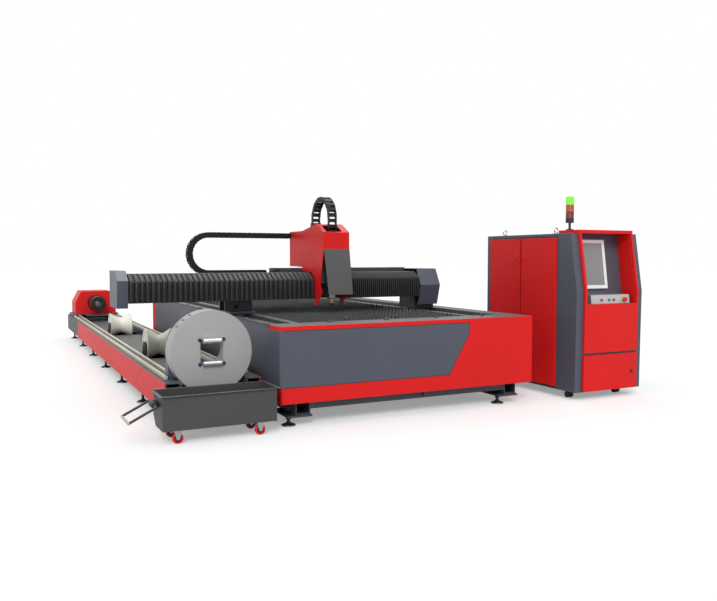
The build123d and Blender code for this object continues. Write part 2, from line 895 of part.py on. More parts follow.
def gantry_beam():
    """Hollow beam with the cable duct on its right part, cross rails and the chain tray."""
    outline = [
        (beam_front, beam_bottom), (beam_back, beam_bottom), (beam_back, beam_step_z), (beam_front, beam_step_z)]
    inner_front = beam_front + gantry_wall
    inner_back = beam_back - gantry_wall
    hollow = [
        (inner_front, beam_bottom + gantry_wall), (inner_back, beam_bottom + gantry_wall),
        (inner_back, beam_step_z - gantry_wall), (inner_front, beam_step_z - gantry_wall)]
    beam_left = left_cap_left + cap_wall
    beam_right = right_cap_right - cap_wall
    beam = prism_x(outline, beam_left, beam_right)
    beam -= prism_x(hollow, beam_left - 1, beam_right + 1)
    duct = block(duct_left, gantry_right, duct_front, beam_back, beam_step_z, duct_top)
    duct -= block(
        duct_left - 1, gantry_right + 1, duct_front + sheet, beam_back - sheet, beam_step_z, duct_top - sheet)
    front_rail = block(
        gantry_left, gantry_right, beam_front - x_rail_height, beam_front,
        x_rail_front_z, x_rail_front_z + x_rail_width)
    top_rail = block(
        gantry_left, gantry_right, x_rail_top_y, x_rail_top_y + rail_width,
        beam_step_z, beam_step_z + x_rail_top_height)
    tray = prism_x([
        (beam_back, tray_top - sheet), (beam_back, tray_top), (tray_back, tray_top),
        (tray_back, tray_top - tray_flange), (tray_back - sheet, tray_top - tray_flange),
        (tray_back - sheet, tray_top - sheet)], gantry_left + tray_end_gap, gantry_right - tray_end_gap)
    save("gantry_beam", beam, duct, front_rail, top_rail, tray)


def end_cover(outline, x0, x1, closed_left):
    """A folded cover with walls all round, open towards the bellows."""
    outer = prism_x(outline, x0, x1)
    face = Polygon(*outline)
    inner_face = offset(face, -cap_wall, kind=Kind.INTERSECTION)
    start = x0 + cap_wall if closed_left else x0 - 1
    stop = x1 + 1 if closed_left else x1 - cap_wall
    hollow = extrude(Plane.YZ.offset(start) * inner_face, stop - start, dir=(1, 0, 0))
    return outer - hollow


def gantry_end_caps():
    """Slate covers over the two ends of the beam."""
    left = end_cover(left_cap_outline, left_cap_left, gantry_left, True)
    right = end_cover(right_cap_outline, gantry_right, right_cap_right, False)
    right -= block(
        gantry_right - 1, right_cap_right - cap_wall, beam_front - 1, beam_back,
        foot_block_top - 1, foot_block_top + 3 * cap_wall)
    save("gantry_end_caps", left, right)


def runner_block(x, y0):
    """A block that straddles a guide rail."""
    half_groove = rail_width / 2 + block_side_gap
    groove_top = beam_top + rail_height + block_top_gap
    outline = [
        (x - block_half_width, block_bottom), (x - block_half_width, saddle_bottom),
        (x + block_half_width, saddle_bottom), (x + block_half_width, block_bottom),
        (x + half_groove, block_bottom), (x + half_groove, groove_top),
        (x - half_groove, groove_top), (x - half_groove, block_bottom)]
    return prism_y(outline, y0, y0 + block_length)


def gantry_carriages():
    """Runner blocks, saddles and the uprights that carry the beam."""
    saddle_top = saddle_bottom + saddle_thickness
    saddle = block(saddle_left, saddle_right, beam_front, beam_back, saddle_bottom, saddle_top)
    upright = block(
        upright_left, saddle_right, upright_front, upright_front + upright_thickness, saddle_top, beam_bottom)
    upright -= rod_y(
        rail_left_x, upright_front - 1, upright_front + upright_thickness + 1, upright_hole_z, upright_hole_radius)
    rear_upright = block(
        upright_left, saddle_right, beam_back - upright_thickness, beam_back, saddle_top, beam_bottom)
    foot_block = block(
        gantry_right - foot_block_overlap, right_cap_right, foot_block_front, beam_back,
        saddle_bottom, foot_block_top)
    riser = block(
        gantry_right + cap_wall, right_cap_right - cap_wall, beam_front, beam_back, foot_block_top, beam_bottom)
    pieces = [saddle + upright + rear_upright, foot_block + riser]
    for x in (rail_left_x, rail_right_x):
        pieces.append(runner_block(x, beam_front + upright_thickness))
        pieces.append(runner_block(x, beam_back - upright_thickness - block_length))
    save("gantry_carriages", *pieces)


def bellows_outline(depth):
    """Front, slope, top, back and foot of the bellows, set in by a depth."""
    slope = (bellows_top - bellows_knee_z) / bellows_chamfer
    knee_drop = depth * (math.sqrt(1 + slope * slope) - slope)
    top_shift = depth * math.tan(math.atan(slope) / 2)
    return [
        (bellows_front + depth, beam_bottom), (bellows_front + depth, bellows_knee_z - knee_drop),
        (bellows_front + bellows_chamfer + top_shift, bellows_top - depth), (bellows_back, bellows_top - depth),
        (bellows_back, beam_bottom)]


def bellows(x0, x1, count):
    """Pleated skin: fold lines in and out by turns along the beam, hollow behind."""
    half_fold = (x1 - x0) / (2 * count)
    sections = []
    for index in range(2 * count + 1):
        depth = 0.0 if index % 2 == 0 else bellows_fold_depth
        sections.append([(x0 + index * half_fold, y, z) for y, z in bellows_outline(depth)])
    front, knee, ridge, top_back, foot_back = bellows_outline(bellows_thickness)
    hollow = [
        (front[0], front[1] - 1), knee, ridge, (top_back[0] + 1, top_back[1]),
        (foot_back[0] + 1, foot_back[1] - 1)]
    return flat_faced(sections) - prism_x(hollow, x0 - 1, x1 + 1)


def link(length, width, height):
    """One chain link: two side plates with pointed ends, joined by a bar above and one below."""
    tip = length / 2
    shoulder = tip - height * link_shoulder
    outline = [
        (-tip, 0), (-shoulder, -height / 2), (shoulder, -height / 2),
        (tip, 0), (shoulder, height / 2), (-shoulder, height / 2)]
    frame = prism_y(outline, -width / 2, width / 2)
    frame -= Box(2 * length, width - 2 * link_wall, 2 * height)
    bar_length = length * link_bar_share
    bars = Box(bar_length, width, height) - Box(2 * bar_length, width, height - 2 * link_wall)
    return frame + bars


def chain_path(straight_in, radius, straight_out, pitch):
    """Hinge points of a chain in its own plane: in along X, round, and back."""
    arc = math.pi * radius
    total = straight_in + arc + straight_out
    count = round(total / pitch)
    step = total / count
    points = []
    for index in range(count + 1):
        s = index * step
        if s <= straight_in:
            points.append((straight_in - s, radius))
        elif s < straight_in + arc:
            angle = (s - straight_in) / radius
            points.append((-radius * math.sin(angle), radius * math.cos(angle)))
        else:
            points.append((s - straight_in - arc, -radius))
    return points


def chain(points, place, width, height):
    """Links set end to end along the hinge points."""
    links = []
    for (x0, z0), (x1, z1) in zip(points, points[1:]):
        length = math.hypot(x1 - x0, z1 - z0)
        angle = math.degrees(math.atan2(z1 - z0, x1 - x0))
        piece = link(length - link_end_gap, width, height)
        at = Location(((x0 + x1) / 2, 0, (z0 + z1) / 2), (0, -angle, 0))
        links.append(place * (at * piece))
    return links


def gantry_chain():
    """The cable chain that follows the head along the gantry."""
    upper = head_left - x_chain_head_gap - x_chain_center_x
    lower = x_chain_end_x - x_chain_center_x
    points = chain_path(upper, x_chain_radius, lower, x_chain_pitch)
    place = Pos(x_chain_center_x, x_chain_y, tray_middle_z + x_chain_radius)
    save("x_cable_chain", *chain(points, place, x_chain_width, x_chain_height))


# Head

def head_cover():
    """Folded red cover: two shaped sides under a sloped hood, open below and in front."""
    outline = [
        (cover_back, cover_top), (cover_flat_y, cover_top), (cover_peak_y, cover_peak_z),
        (cover_nose_y, cover_nose_z), (cover_nose_y, cover_mouth_z), *cover_side_edge, *cover_shelf,
        (cover_back, cover_shelf_back_z)]
    low = beam_bottom - 200
    far_front = front_panel_bottom_y - 100
    inside = [
        (cover_back - cover_wall, low), (cover_back - cover_wall, cover_top - cover_wall),
        (cover_flat_y, cover_top - cover_wall), (cover_peak_y, cover_peak_z - cover_wall),
        (cover_nose_y + cover_wall, cover_nose_z - cover_wall), (cover_nose_y + cover_wall, cover_mouth_z),
        (far_front, cover_mouth_z), (far_front, low)]
    cover = prism_x(outline, head_left, head_right)
    cover -= prism_x(inside, head_left + cover_wall, head_right - cover_wall)
    cover -= block(
        hood_hole_left, hood_hole_right, hood_hole_front, hood_hole_back,
        cover_nose_z - 30, cover_peak_z + 1)
    bracket_front = x_chain_y - x_chain_width / 2
    ear = block(
        head_left - x_chain_head_gap, head_left, bracket_front, bracket_front + x_chain_width - 30,
        x_chain_top_z + x_chain_height / 2, x_chain_top_z + x_chain_height / 2 + cover_wall)
    save("head_cover", cover + ear)


def head_front_panel():
    """Tilted grey panel, wider at the top left than below."""
    tilted = [
        (cover_nose_y, front_panel_top_z), (cover_nose_y - cover_wall, front_panel_top_z),
        (front_panel_bottom_y - cover_wall, front_panel_bottom_z), (front_panel_bottom_y, front_panel_bottom_z),
        (cover_nose_y, cover_mouth_z)]
    panel = prism_x(tilted, front_panel_top[0], front_panel_foot[1])
    front_view = [
        (front_panel_top[0], front_panel_top_z), (front_panel_top[1], front_panel_top_z),
        (front_panel_foot[1], front_panel_bottom_z), (front_panel_foot[0], front_panel_bottom_z)]
    panel &= prism_y(front_view, front_panel_bottom_y - 10, cover_nose_y + 10)
    save("head_front_panel", panel)


def head_carriage():
    """Plate with an arm over the beam, runner blocks, lift rails and the chain foot."""
    front = carriage_front
    back = carriage_front + carriage_thickness
    arm_top = carriage_arm_z + carriage_arm_thickness
    plate = block(carriage_left, carriage_right, front, back, carriage_bottom, carriage_top)
    plate += block(carriage_left, carriage_right, back, carriage_arm_back, carriage_arm_z, arm_top)
    rail_face = beam_front - x_rail_height
    groove_low = x_rail_front_z - block_side_gap
    groove_high = x_rail_front_z + x_rail_width + block_side_gap
    clamp = beam_front - 5
    front_block = prism_x([
        (back, groove_low - 16), (back, groove_high + 16), (clamp, groove_high + 16), (clamp, groove_high),
        (rail_face - block_top_gap, groove_high), (rail_face - block_top_gap, groove_low), (clamp, groove_low),
        (clamp, groove_low - 16)], carriage_left + 20, carriage_right - 20)
    top_low = beam_step_z + 5
    rail_top = beam_step_z + x_rail_top_height + block_top_gap
    rail_low = x_rail_top_y - block_side_gap
    rail_high = x_rail_top_y + rail_width + block_side_gap
    top_block = prism_x([
        (rail_low - 14, top_low), (rail_low - 14, carriage_arm_z), (rail_high + 14, carriage_arm_z),
        (rail_high + 14, top_low), (rail_high, top_low), (rail_high, rail_top), (rail_low, rail_top),
        (rail_low, top_low)], carriage_left + 20, carriage_right - 20)
    pieces = [plate, front_block, top_block]
    for x in z_rail_x:
        pieces.append(block(
            x - z_rail_width / 2, x + z_rail_width / 2, front - z_rail_depth, front,
            z_rail_bottom, carriage_top - 10))
    slope = (cover_peak_z - cover_top) / (cover_flat_y - cover_peak_y)
    foot_y = z_chain_front_y + 2 * z_chain_radius
    foot_front = foot_y - z_chain_height / 2
    foot_back = foot_y + z_chain_height / 2
    front_z = cover_top + slope * (cover_flat_y - foot_front)
    back_z = cover_top + slope * (cover_flat_y - foot_back)
    pieces.append(prism_x([
        (foot_front, front_z), (foot_front, z_chain_bracket_top), (foot_back, z_chain_bracket_top),
        (foot_back, back_z)], z_chain_x - z_chain_bracket_half, z_chain_x + z_chain_bracket_half))
    join = block(
        head_left + cover_wall, carriage_left, front, back, carriage_top - 120, carriage_top - 20)
    join_right = block(
        carriage_right, head_right - cover_wall, front, back, carriage_top - 120, carriage_top - 20)
    save("head_carriage", pieces[0] + join + join_right, *pieces[1:])


def lift_chain():
    """The cable chain that loops over the hood down to the cutting head."""
    down = z_chain_center_z - z_arm_top
    up = z_chain_center_z - z_chain_bracket_top
    points = chain_path(down, z_chain_radius, up, z_chain_pitch)
    center = (z_chain_x, z_chain_front_y + z_chain_radius, z_chain_center_z)
    turned = Plane(center, x_dir=(0, 0, -1), z_dir=(0, -1, 0)).location
    save("z_cable_chain", *chain(points, turned, z_chain_width, z_chain_height))


def cutting_head():
    """Slide with its arm, squared body and the round lower stack."""
    back = carriage_front - z_rail_depth - z_slide_gap
    front = back - slide_thickness
    left = head_axis_x - slide_half_width
    right = head_axis_x + slide_half_width
    slide = block(left, right, front, back, slide_bottom, slide_top)
    arm_front = z_chain_front_y - z_chain_height / 2
    arm = block(
        z_chain_x - z_chain_width / 2, z_chain_x + z_chain_width / 2, arm_front, front,
        z_arm_top - arm_thickness, z_arm_top)
    body = block(
        head_axis_x - body_half_width, head_axis_x + body_half_width,
        head_axis_y - body_half_width, front, slide_bottom, slide_top - body_drop)
    neck_top = slide_bottom - stack_collar_height - stack_chamfer
    neck_bottom = neck_top - stack_neck_height
    ring_top = neck_bottom - stack_chamfer
    ring_bottom = ring_top - stack_ring_height
    stack = many_sided([
        (stack_foot_radius, nozzle_top_z), (stack_foot_radius, ring_bottom - stack_chamfer),
        (stack_collar_radius, ring_bottom), (stack_collar_radius, ring_top), (stack_neck_radius, neck_bottom),
        (stack_neck_radius, neck_top), (stack_collar_radius, neck_top + stack_chamfer),
        (stack_collar_radius, slide_bottom)], round_sides)
    save("cutting_head", slide + arm + body, Pos(head_axis_x, head_axis_y, 0) * stack)


def cutting_nozzle():
    """Brass ring and pointed tip."""
    ring_bottom = nozzle_tip_z + nozzle_cone_height
    nozzle = many_sided([
        (nozzle_tip_radius, nozzle_tip_z), (nozzle_cone_radius, ring_bottom),
        (nozzle_ring_radius, ring_bottom), (nozzle_ring_radius, nozzle_top_z)], round_sides)
    save("cutting_nozzle", Pos(head_axis_x, head_axis_y, 0) * nozzle)


# Tube bed

def tube_bed_frame():
    """Two side beams, open cradle in front, floor plate and end plate."""
    pieces = []
    for outer, side in ((tube_bed_left, 1), (tube_bed_right, -1)):
        inner = outer + side * tube_beam_width
        pieces.append(tube_y(
            min(outer, inner), max(outer, inner), cradle_back, tube_bed_back,
            tube_bed_bottom, tube_bed_top, tube_beam_wall))
        near = outer + side * cradle_beam_width
        pieces.append(tube_y(
            min(outer, near), max(outer, near), tube_bed_front, cradle_back,
            tube_bed_bottom, tube_bed_top, tube_beam_wall))
    floor = block(tube_trough_left, tube_trough_right, cradle_back, tube_bed_back, tube_bed_bottom, tube_floor_top)
    for y in support_y:
        for side in (-1, 1):
            floor -= rod_z(
                tube_x + side * guide_rod_offset, y, tube_bed_bottom - 1, tube_floor_top + 1,
                guide_rod_radius + guide_rod_gap)
    pieces.append(floor)
    pieces.append(tube_y(
        tube_bed_left + cradle_beam_width, tube_bed_right - cradle_beam_width, tube_bed_front, cradle_back,
        tube_bed_bottom, cradle_floor_top, tube_beam_wall))
    pieces.append(block(
        tube_trough_left, tube_trough_right, tube_bed_back - tube_floor_thickness, tube_bed_back,
        tube_floor_top, tube_bed_top))
    save("tube_bed_frame", *pieces)


def tube_bed_side_panels():
    """Long red panels with a rounded far top corner."""
    back = tube_bed_front + tube_panel_length
    face = Polygon(
        (tube_bed_front, tube_bed_bottom), (back, tube_bed_bottom), (back, tube_bed_top),
        (tube_bed_front, tube_bed_top))
    corner = face.vertices().sort_by(lambda v: v.X + v.Y)[-1]
    face = fillet(corner, tube_panel_corner)
    left = extrude(Plane.YZ.offset(tube_bed_left - sheet) * face, sheet, dir=(1, 0, 0))
    right = extrude(Plane.YZ.offset(tube_bed_right) * face, sheet, dir=(1, 0, 0))
    save("tube_bed_side_panels", left, right)


def tube_bed_rails():
    """Four guide rails, the inner pair starting behind the chuck stand."""
    pieces = []
    half = guide_rail_width / 2
    back = tube_bed_back - tube_floor_thickness
    for side in (-1, 1):
        for distance, start in ((outer_rail_offset, outer_rail_front), (inner_rail_offset, stand_back + 5)):
            x = tube_x + side * distance
            pieces.append(block(x - half, x + half, start, back, tube_bed_top, guide_rail_top))
    save("tube_bed_rails", *pieces)


def tube_bed_deck():
    """Deck plates between the side beams, with a gap at each roller support."""
    edges = [cradle_back]
    for y in support_y:
        edges += [y - slot_half_length, y + slot_half_length]
    edges.append(tube_bed_back - tube_floor_thickness)
    pieces = []
    for start, stop in zip(edges[0::2], edges[1::2]):
        pieces.append(block(
            tube_trough_left, tube_trough_right, start, stop, tube_deck_top - tube_deck_thickness, tube_deck_top))
    save("tube_bed_deck", *pieces)


def front_chuck_stand():
    """Round-topped housing that carries the drum in a large bearing hole."""
    top = Pos(tube_x, tube_z) * Circle(stand_radius)
    legs_height = tube_z - tube_bed_top
    legs = Pos(tube_x, tube_z - legs_height / 2) * Rectangle(2 * stand_radius, legs_height)
    below = Pos(tube_x, tube_bed_top - stand_radius) * Rectangle(4 * stand_radius, 2 * stand_radius)
    face = top + legs - below - Pos(tube_x, tube_z) * Circle(stand_hole_radius)
    plane = Plane((0, stand_front, 0), x_dir=(1, 0, 0), z_dir=(0, -1, 0))
    save("front_chuck_stand", extrude(plane * face, stand_depth, dir=(0, 1, 0)))


def front_chuck_drum():
    """Drum with a square hole, jaw pockets above and below, rim slots and a rear hub."""
    half = chuck_hole_width / 2
    drum = many_sided_bar_y(tube_x, drum_front, drum_back, tube_z, drum_radius, 2 * large_round_sides)
    hub = rod_y(tube_x, drum_back, drum_back + hub_length, tube_z, stand_hole_radius - hub_clearance)
    drum += hub
    drum -= rod_y(tube_x, drum_front + jaw_depth + drum_web, drum_back + hub_length + 1, tube_z, hub_bore_radius)
    drum -= block(tube_x - half, tube_x + half, drum_front - 1, drum_back, tube_z - half, tube_z + half)
    pocket = jaw_half_width + jaw_gap
    reach = half + jaw_height + jaw_gap
    drum -= block(
        tube_x - pocket, tube_x + pocket, drum_front - 1, drum_front + jaw_depth + jaw_gap,
        tube_z - reach, tube_z + reach)
    slot = Box(2 * rim_slot_depth, rim_slot_length, rim_slot_width)
    for angle in rim_slot_angles:
        place = Pos(tube_x, (drum_front + drum_back) / 2, tube_z) * Rot(0, -angle, 0) * Pos(drum_radius, 0, 0)
        drum -= place * slot
    save("front_chuck_drum", drum)


def front_chuck_jaw(name, side):
    """Sliding jaw: a plate in its pocket with a long roller at the inner edge."""
    half = chuck_hole_width / 2
    inner = tube_z + side * (half - jaw_inset)
    outer = tube_z + side * (half + jaw_height)
    plate = block(
        tube_x - jaw_half_width, tube_x + jaw_half_width, drum_front, drum_front + jaw_depth,
        min(inner, outer), max(inner, outer))
    roller_y = drum_front - jaw_roller_radius - 1
    roller = many_sided_bar_x(
        tube_x - jaw_roller_length / 2, tube_x + jaw_roller_length / 2, roller_y,
        tube_z + side * (half - 2), jaw_roller_radius, round_sides)
    cheek = inner + side * jaw_cheek_height
    cheeks = block(
        tube_x - jaw_half_width, tube_x + jaw_half_width, roller_y, drum_front, min(inner, cheek), max(inner, cheek))
    save(name, plate + cheeks + roller)


def support_bracket(name, y):
    """Fork that holds one roller: base plate, two arms, shaft and two guide rods."""
    arm_gap = roller_half + roller_side_gap
    outer = arm_gap + bracket_plate
    base_bottom = bracket_bottom - bracket_base_thickness
    arm_top = roller_z + bracket_arm_rise
    arm = [
        (y - bracket_base_half, base_bottom), (y + bracket_base_half, base_bottom),
        (y + bracket_base_half, bracket_bottom), (y + bracket_arm_half, arm_top),
        (y - bracket_arm_half, arm_top), (y - bracket_base_half, bracket_bottom)]
    fork = prism_x(arm, tube_x - outer, tube_x + outer)
    fork -= block(
        tube_x - arm_gap, tube_x + arm_gap, y - 2 * bracket_base_half, y + 2 * bracket_base_half,
        bracket_bottom, arm_top + 1)
    fork += rod_x(tube_x - arm_gap, tube_x + arm_gap, y, roller_z, roller_bore_radius - roller_shaft_gap)
    rod_length = base_bottom - guide_rod_bottom
    rod = many_sided([(guide_rod_radius, 0), (guide_rod_radius, rod_length)], round_sides)
    for side in (-1, 1):
        fork += Pos(tube_x + side * guide_rod_offset, y, guide_rod_bottom) * rod
    save(name, fork)


def support_roller(name, y):
    """Waisted roller turning on the bracket's shaft."""
    profile = []
    for index in range(roller_steps + 1):
        t = -1 + 2 * index / roller_steps
        radius = roller_waist_radius + (roller_end_radius - roller_waist_radius) * abs(t) ** roller_curve
        profile.append((radius, t * roller_half))
    roller = Pos(tube_x, y, roller_z) * Rot(0, 90, 0) * many_sided(profile, large_round_sides)
    roller -= rod_x(tube_x - roller_width, tube_x + roller_width, y, roller_z, roller_bore_radius)
    save(name, roller)


def rear_chuck_outline(half_width, shoulder, low, high):
    """Front view of the rear chuck housing: upright sides with sloped shoulders."""
    slope_z = low + (high - low) * rear_shoulder_share
    return [
        (tube_x - half_width, low), (tube_x + half_width, low), (tube_x + half_width, slope_z),
        (tube_x + shoulder, high), (tube_x - shoulder, high), (tube_x - half_width, slope_z)]


def rear_chuck():
    """Red housing on a base plate that rides on the four rails."""
    low = guide_rail_top + rear_rail_gap
    base_top = low + rear_base_thickness
    back = rear_chuck_front + rear_chuck_depth
    inner_guide = outer_rail_offset + guide_rail_width / 2 + block_side_gap
    outer = inner_guide + rear_guide_width
    base = block(tube_x - outer, tube_x + outer, rear_chuck_front, back, low, base_top)
    base += block(
        tube_x - rear_apron_half, tube_x + rear_apron_half, rear_chuck_front - rear_apron_length,
        rear_chuck_front, low, base_top)
    shoe_starts = (rear_chuck_front + rear_shoe_inset, back - rear_shoe_inset - rear_shoe_length)
    for side in (-1, 1):
        for y in shoe_starts:
            x = tube_x + side * inner_guide
            far = tube_x + side * outer
            base += block(min(x, far), max(x, far), y, y + rear_shoe_length, tube_bed_top + rear_shoe_gap, base_top)
    save("rear_chuck_base", base)
    outline = rear_chuck_outline(rear_chuck_half_width, rear_chuck_shoulder, base_top, tube_bed_top + rear_chuck_height)
    housing = prism_y(outline, rear_chuck_front, back)
    housing -= rod_y(tube_x, rear_chuck_front - 1, back + 1, tube_z, rear_neck_radius + hub_clearance)
    save("rear_chuck_housing", housing)


def rear_chuck_body():
    """Round chuck with a collar, a neck inside the housing and four jaws on its face."""
    collar_front = rear_chuck_front - rear_ring_length - hub_clearance
    collar_back = collar_front + rear_ring_length
    neck_back = rear_chuck_front + rear_chuck_depth
    body = many_sided_bar_y(
        tube_x, rear_body_front, collar_front, tube_z, rear_body_radius, large_round_sides)
    body += many_sided_bar_y(tube_x, collar_front, collar_back, tube_z, rear_ring_radius, large_round_sides)
    body += rod_y(tube_x, collar_back, neck_back, tube_z, rear_neck_radius)
    body -= rod_y(tube_x, rear_body_front - 1, neck_back + 1, tube_z, rear_bore_radius)
    jaw_mid = rear_bore_radius + rear_jaw_reach / 2 - rear_jaw_inset
    jaw = Box(rear_jaw_reach, rear_jaw_length, rear_jaw_width)
    for angle in (0, 90, 180, 270):
        at = Pos(tube_x, rear_body_front, tube_z) * Rot(0, angle, 0) * Pos(jaw_mid, 0, 0)
        body += at * jaw
    save("rear_chuck_body", body)


# Scrap trolley

def trolley_bin():
    """Folded bin with a sloped back foot and a rim all round."""
    def side_view(inset_by, top):
        back_foot = bin_back - bin_chamfer
        return [
            (bin_front + inset_by, bin_bottom + inset_by), (back_foot - inset_by * 0.4, bin_bottom + inset_by),
            (bin_back - inset_by, bin_bottom + bin_chamfer + inset_by * 0.4), (bin_back - inset_by, top),
            (bin_front + inset_by, top)]
    outer = prism_x(side_view(0, bin_top), bin_left, bin_right)
    outer += block(
        bin_left - bin_rim, bin_right + bin_rim, bin_front - bin_rim, bin_back + bin_rim,
        bin_top - bin_wall, bin_top)
    inner = prism_x(side_view(bin_wall, bin_top + 1), bin_left + bin_wall, bin_right - bin_wall)
    save("trolley_bin", outer - inner)


def trolley_handle():
    """Flat loop of straight rods, hinged in a block on the left wall of the bin."""
    middle = (bin_front + bin_back) / 2
    left = middle - handle_half_width
    right = middle + handle_half_width
    path = Polyline(
        (handle_pivot_x, left, handle_pivot_z), (handle_end_x, left, handle_end_z),
        (handle_end_x, right, handle_end_z), (handle_pivot_x, right, handle_pivot_z))
    section = Plane(origin=path @ 0, z_dir=path % 0) * RegularPolygon(handle_rod_radius, handle_rod_sides)
    loop = sweep(section, path, transition=Transition.RIGHT)
    loop += rod_y(handle_pivot_x, left, right, handle_pivot_z, handle_rod_radius)
    save("trolley_handle", loop)


def trolley_forks():
    """Castor forks with their axles under the bin, and the hinge block of the handle."""
    pieces = []
    cheek = wheel_width / 2 + fork_gap
    crown = wheel_radius * 2 + fork_crown_gap
    for x in wheel_x:
        for y in wheel_y:
            outline = [
                (x - fork_half_length, bin_bottom), (x - fork_half_length, crown),
                (x - fork_foot_half, wheel_radius - fork_foot_half),
                (x + fork_foot_half, wheel_radius - fork_foot_half),
                (x + fork_half_length, crown), (x + fork_half_length, bin_bottom)]
            fork = prism_y(outline, y - cheek - fork_thickness, y + cheek + fork_thickness)
            fork -= block(x - wheel_radius, x + wheel_radius, y - cheek, y + cheek, 0, crown)
            axle = many_sided_bar_y(
                x, y - cheek - fork_thickness, y + cheek + fork_thickness, wheel_radius, axle_radius, axle_sides)
            pieces.append(fork + axle)
    middle = (bin_front + bin_back) / 2
    mount = block(
        handle_pivot_x - handle_block_half_height, bin_left, middle - handle_block_half,
        middle + handle_block_half, handle_pivot_z - handle_block_half_height,
        handle_pivot_z + handle_block_half_height)
    mount -= rod_y(
        handle_pivot_x, middle - handle_block_half - 1, middle + handle_block_half + 1, handle_pivot_z,
        handle_rod_radius + handle_hole_gap)
    pieces.append(mount)
    save("trolley_caster_forks", *pieces)


def trolley_wheels():
    """Four wheels, each a node of its own."""
    names = {(0, 0): "front_left", (0, 1): "rear_left", (1, 0): "front_right", (1, 1): "rear_right"}
    for (i, j), place in names.items():
        x = wheel_x[i]
        y = wheel_y[j]
        wheel = many_sided_bar_y(
            x, y - wheel_width / 2, y + wheel_width / 2, wheel_radius, wheel_radius, round_sides)
        wheel -= rod_y(x, y - wheel_width, y + wheel_width, wheel_radius, axle_radius + axle_gap)
        save(f"trolley_wheel_{place}", wheel)


# Control cabinet

def cabinet_side_outline(inset_by):
    """Side view of the cabinet box, moved inward by a wall."""
    return [
        (cabinet_front_foot + inset_by, cabinet_bottom + inset_by), (cabinet_nose_y + inset_by, cabinet_nose_z),
        (cabinet_front_top + inset_by, cabinet_top - inset_by), (cabinet_back - inset_by, cabinet_top - inset_by),
        (cabinet_back - inset_by, cabinet_bottom + inset_by)]


def recess_wall_y(z):
    """Depth of the sloped back wall of the console recess at a height."""
    share = (z - recess_bottom) / (cabinet_top - recess_bottom)
    return recess_back_bottom + share * (recess_back_top - recess_back_bottom)


def cabinet_shell():
    """Box with a sloped front, a console recess and openings behind its doors."""
    shell = prism_x(cabinet_side_outline(0), cabinet_left, cabinet_right)
    wall = cabinet_wall
    low_front = cabinet_front_foot + wall
    cavity = [
        (low_front, cabinet_bottom + wall), (low_front, recess_bottom - 2 * wall),
        (recess_back_bottom + wall, recess_bottom - 2 * wall),
        (recess_wall_y(cabinet_top) + wall, cabinet_top - wall),
        (cabinet_back - wall, cabinet_top - wall), (cabinet_back - wall, cabinet_bottom + wall)]
    shell -= prism_x(cavity, cabinet_left + wall, cabinet_right - wall)
    front = cabinet_nose_y - 50
    recess = [
        (front, recess_bottom), (recess_back_bottom, recess_bottom),
        (recess_wall_y(cabinet_top + 20), cabinet_top + 20), (front, cabinet_top + 20)]
    shell -= prism_x(recess, recess_left, recess_right)
    for door in (front_side_door, rear_side_door):
        shell -= block(
            cabinet_left - 1, cabinet_left + wall + 1, door[0] + door_return, door[1] - door_return,
            side_door_bottom + door_return, side_door_top - door_return)
    shell -= block(
        cover_left + door_return, cover_right - door_return, cabinet_nose_y - 1, low_front + 1,
        lower_door_bottom + door_return, lower_door_top - door_return)
    save("cabinet_shell", shell)


def front_line_y(z):
    """Front face of the cabinet box at a height."""
    if z <= cabinet_nose_z:
        share = (z - cabinet_bottom) / (cabinet_nose_z - cabinet_bottom)
        return cabinet_front_foot + share * (cabinet_nose_y - cabinet_front_foot)
    share = (z - cabinet_nose_z) / (cabinet_top - cabinet_nose_z)
    return cabinet_nose_y + share * (cabinet_front_top - cabinet_nose_y)


def cabinet_front_cover():
    """Red cover: middle panel, two pillars beside the recess and the roof plate."""
    low_y = front_line_y(mid_panel_bottom)
    sill_y = front_line_y(recess_bottom)
    top_y = front_line_y(cabinet_top)
    panel = prism_x([
        (low_y, mid_panel_bottom), (low_y - cover_proud, mid_panel_bottom),
        (sill_y - cover_proud, recess_bottom), (sill_y, recess_bottom)], cover_left, cover_right)
    pillar = [
        (sill_y, recess_bottom), (sill_y - cover_proud, recess_bottom),
        (cabinet_nose_y - cover_proud, cabinet_nose_z), (top_y - cover_proud, cabinet_top),
        (top_y, cabinet_top), (cabinet_nose_y, cabinet_nose_z)]
    left = prism_x(pillar, cover_left, recess_left)
    right = prism_x(pillar, recess_right, cover_right)
    roof = block(cover_left, cover_right, top_y - cover_proud, roof_back, cabinet_top, cabinet_top + roof_thickness)
    save("cabinet_front_cover", panel, left, right, roof)


def monitor_slab(left, right, bottom, top, back_gap, thickness):
    """A slab parallel to the sloped wall of the recess."""
    low = recess_wall_y(bottom)
    high = recess_wall_y(top)
    return prism_x([
        (low - back_gap, bottom), (low - back_gap - thickness, bottom),
        (high - back_gap - thickness, top), (high - back_gap, top)], left, right)


def monitor():
    """White bezel with a shallow window, and the screen in it."""
    bezel = monitor_slab(monitor_left, monitor_right, monitor_bottom, monitor_top, 0, monitor_thickness)
    window = monitor_slab(
        monitor_left + monitor_margin, monitor_right - monitor_margin, monitor_bottom + monitor_margin,
        monitor_top - monitor_margin, monitor_thickness - monitor_lip, monitor_lip + 1)
    save("monitor_bezel", bezel - window)
    screen = monitor_slab(
        monitor_left + monitor_margin, monitor_right - monitor_margin, monitor_bottom + monitor_margin,
        monitor_top - monitor_margin, monitor_thickness - monitor_lip, monitor_lip / 2)
    save("monitor_screen", screen)


def strip_face_y(z):
    """Front face of the control strip at a height."""
    share = (z - recess_bottom) / (strip_top_z - recess_bottom)
    return strip_front_foot + share * (strip_front_head - strip_front_foot)


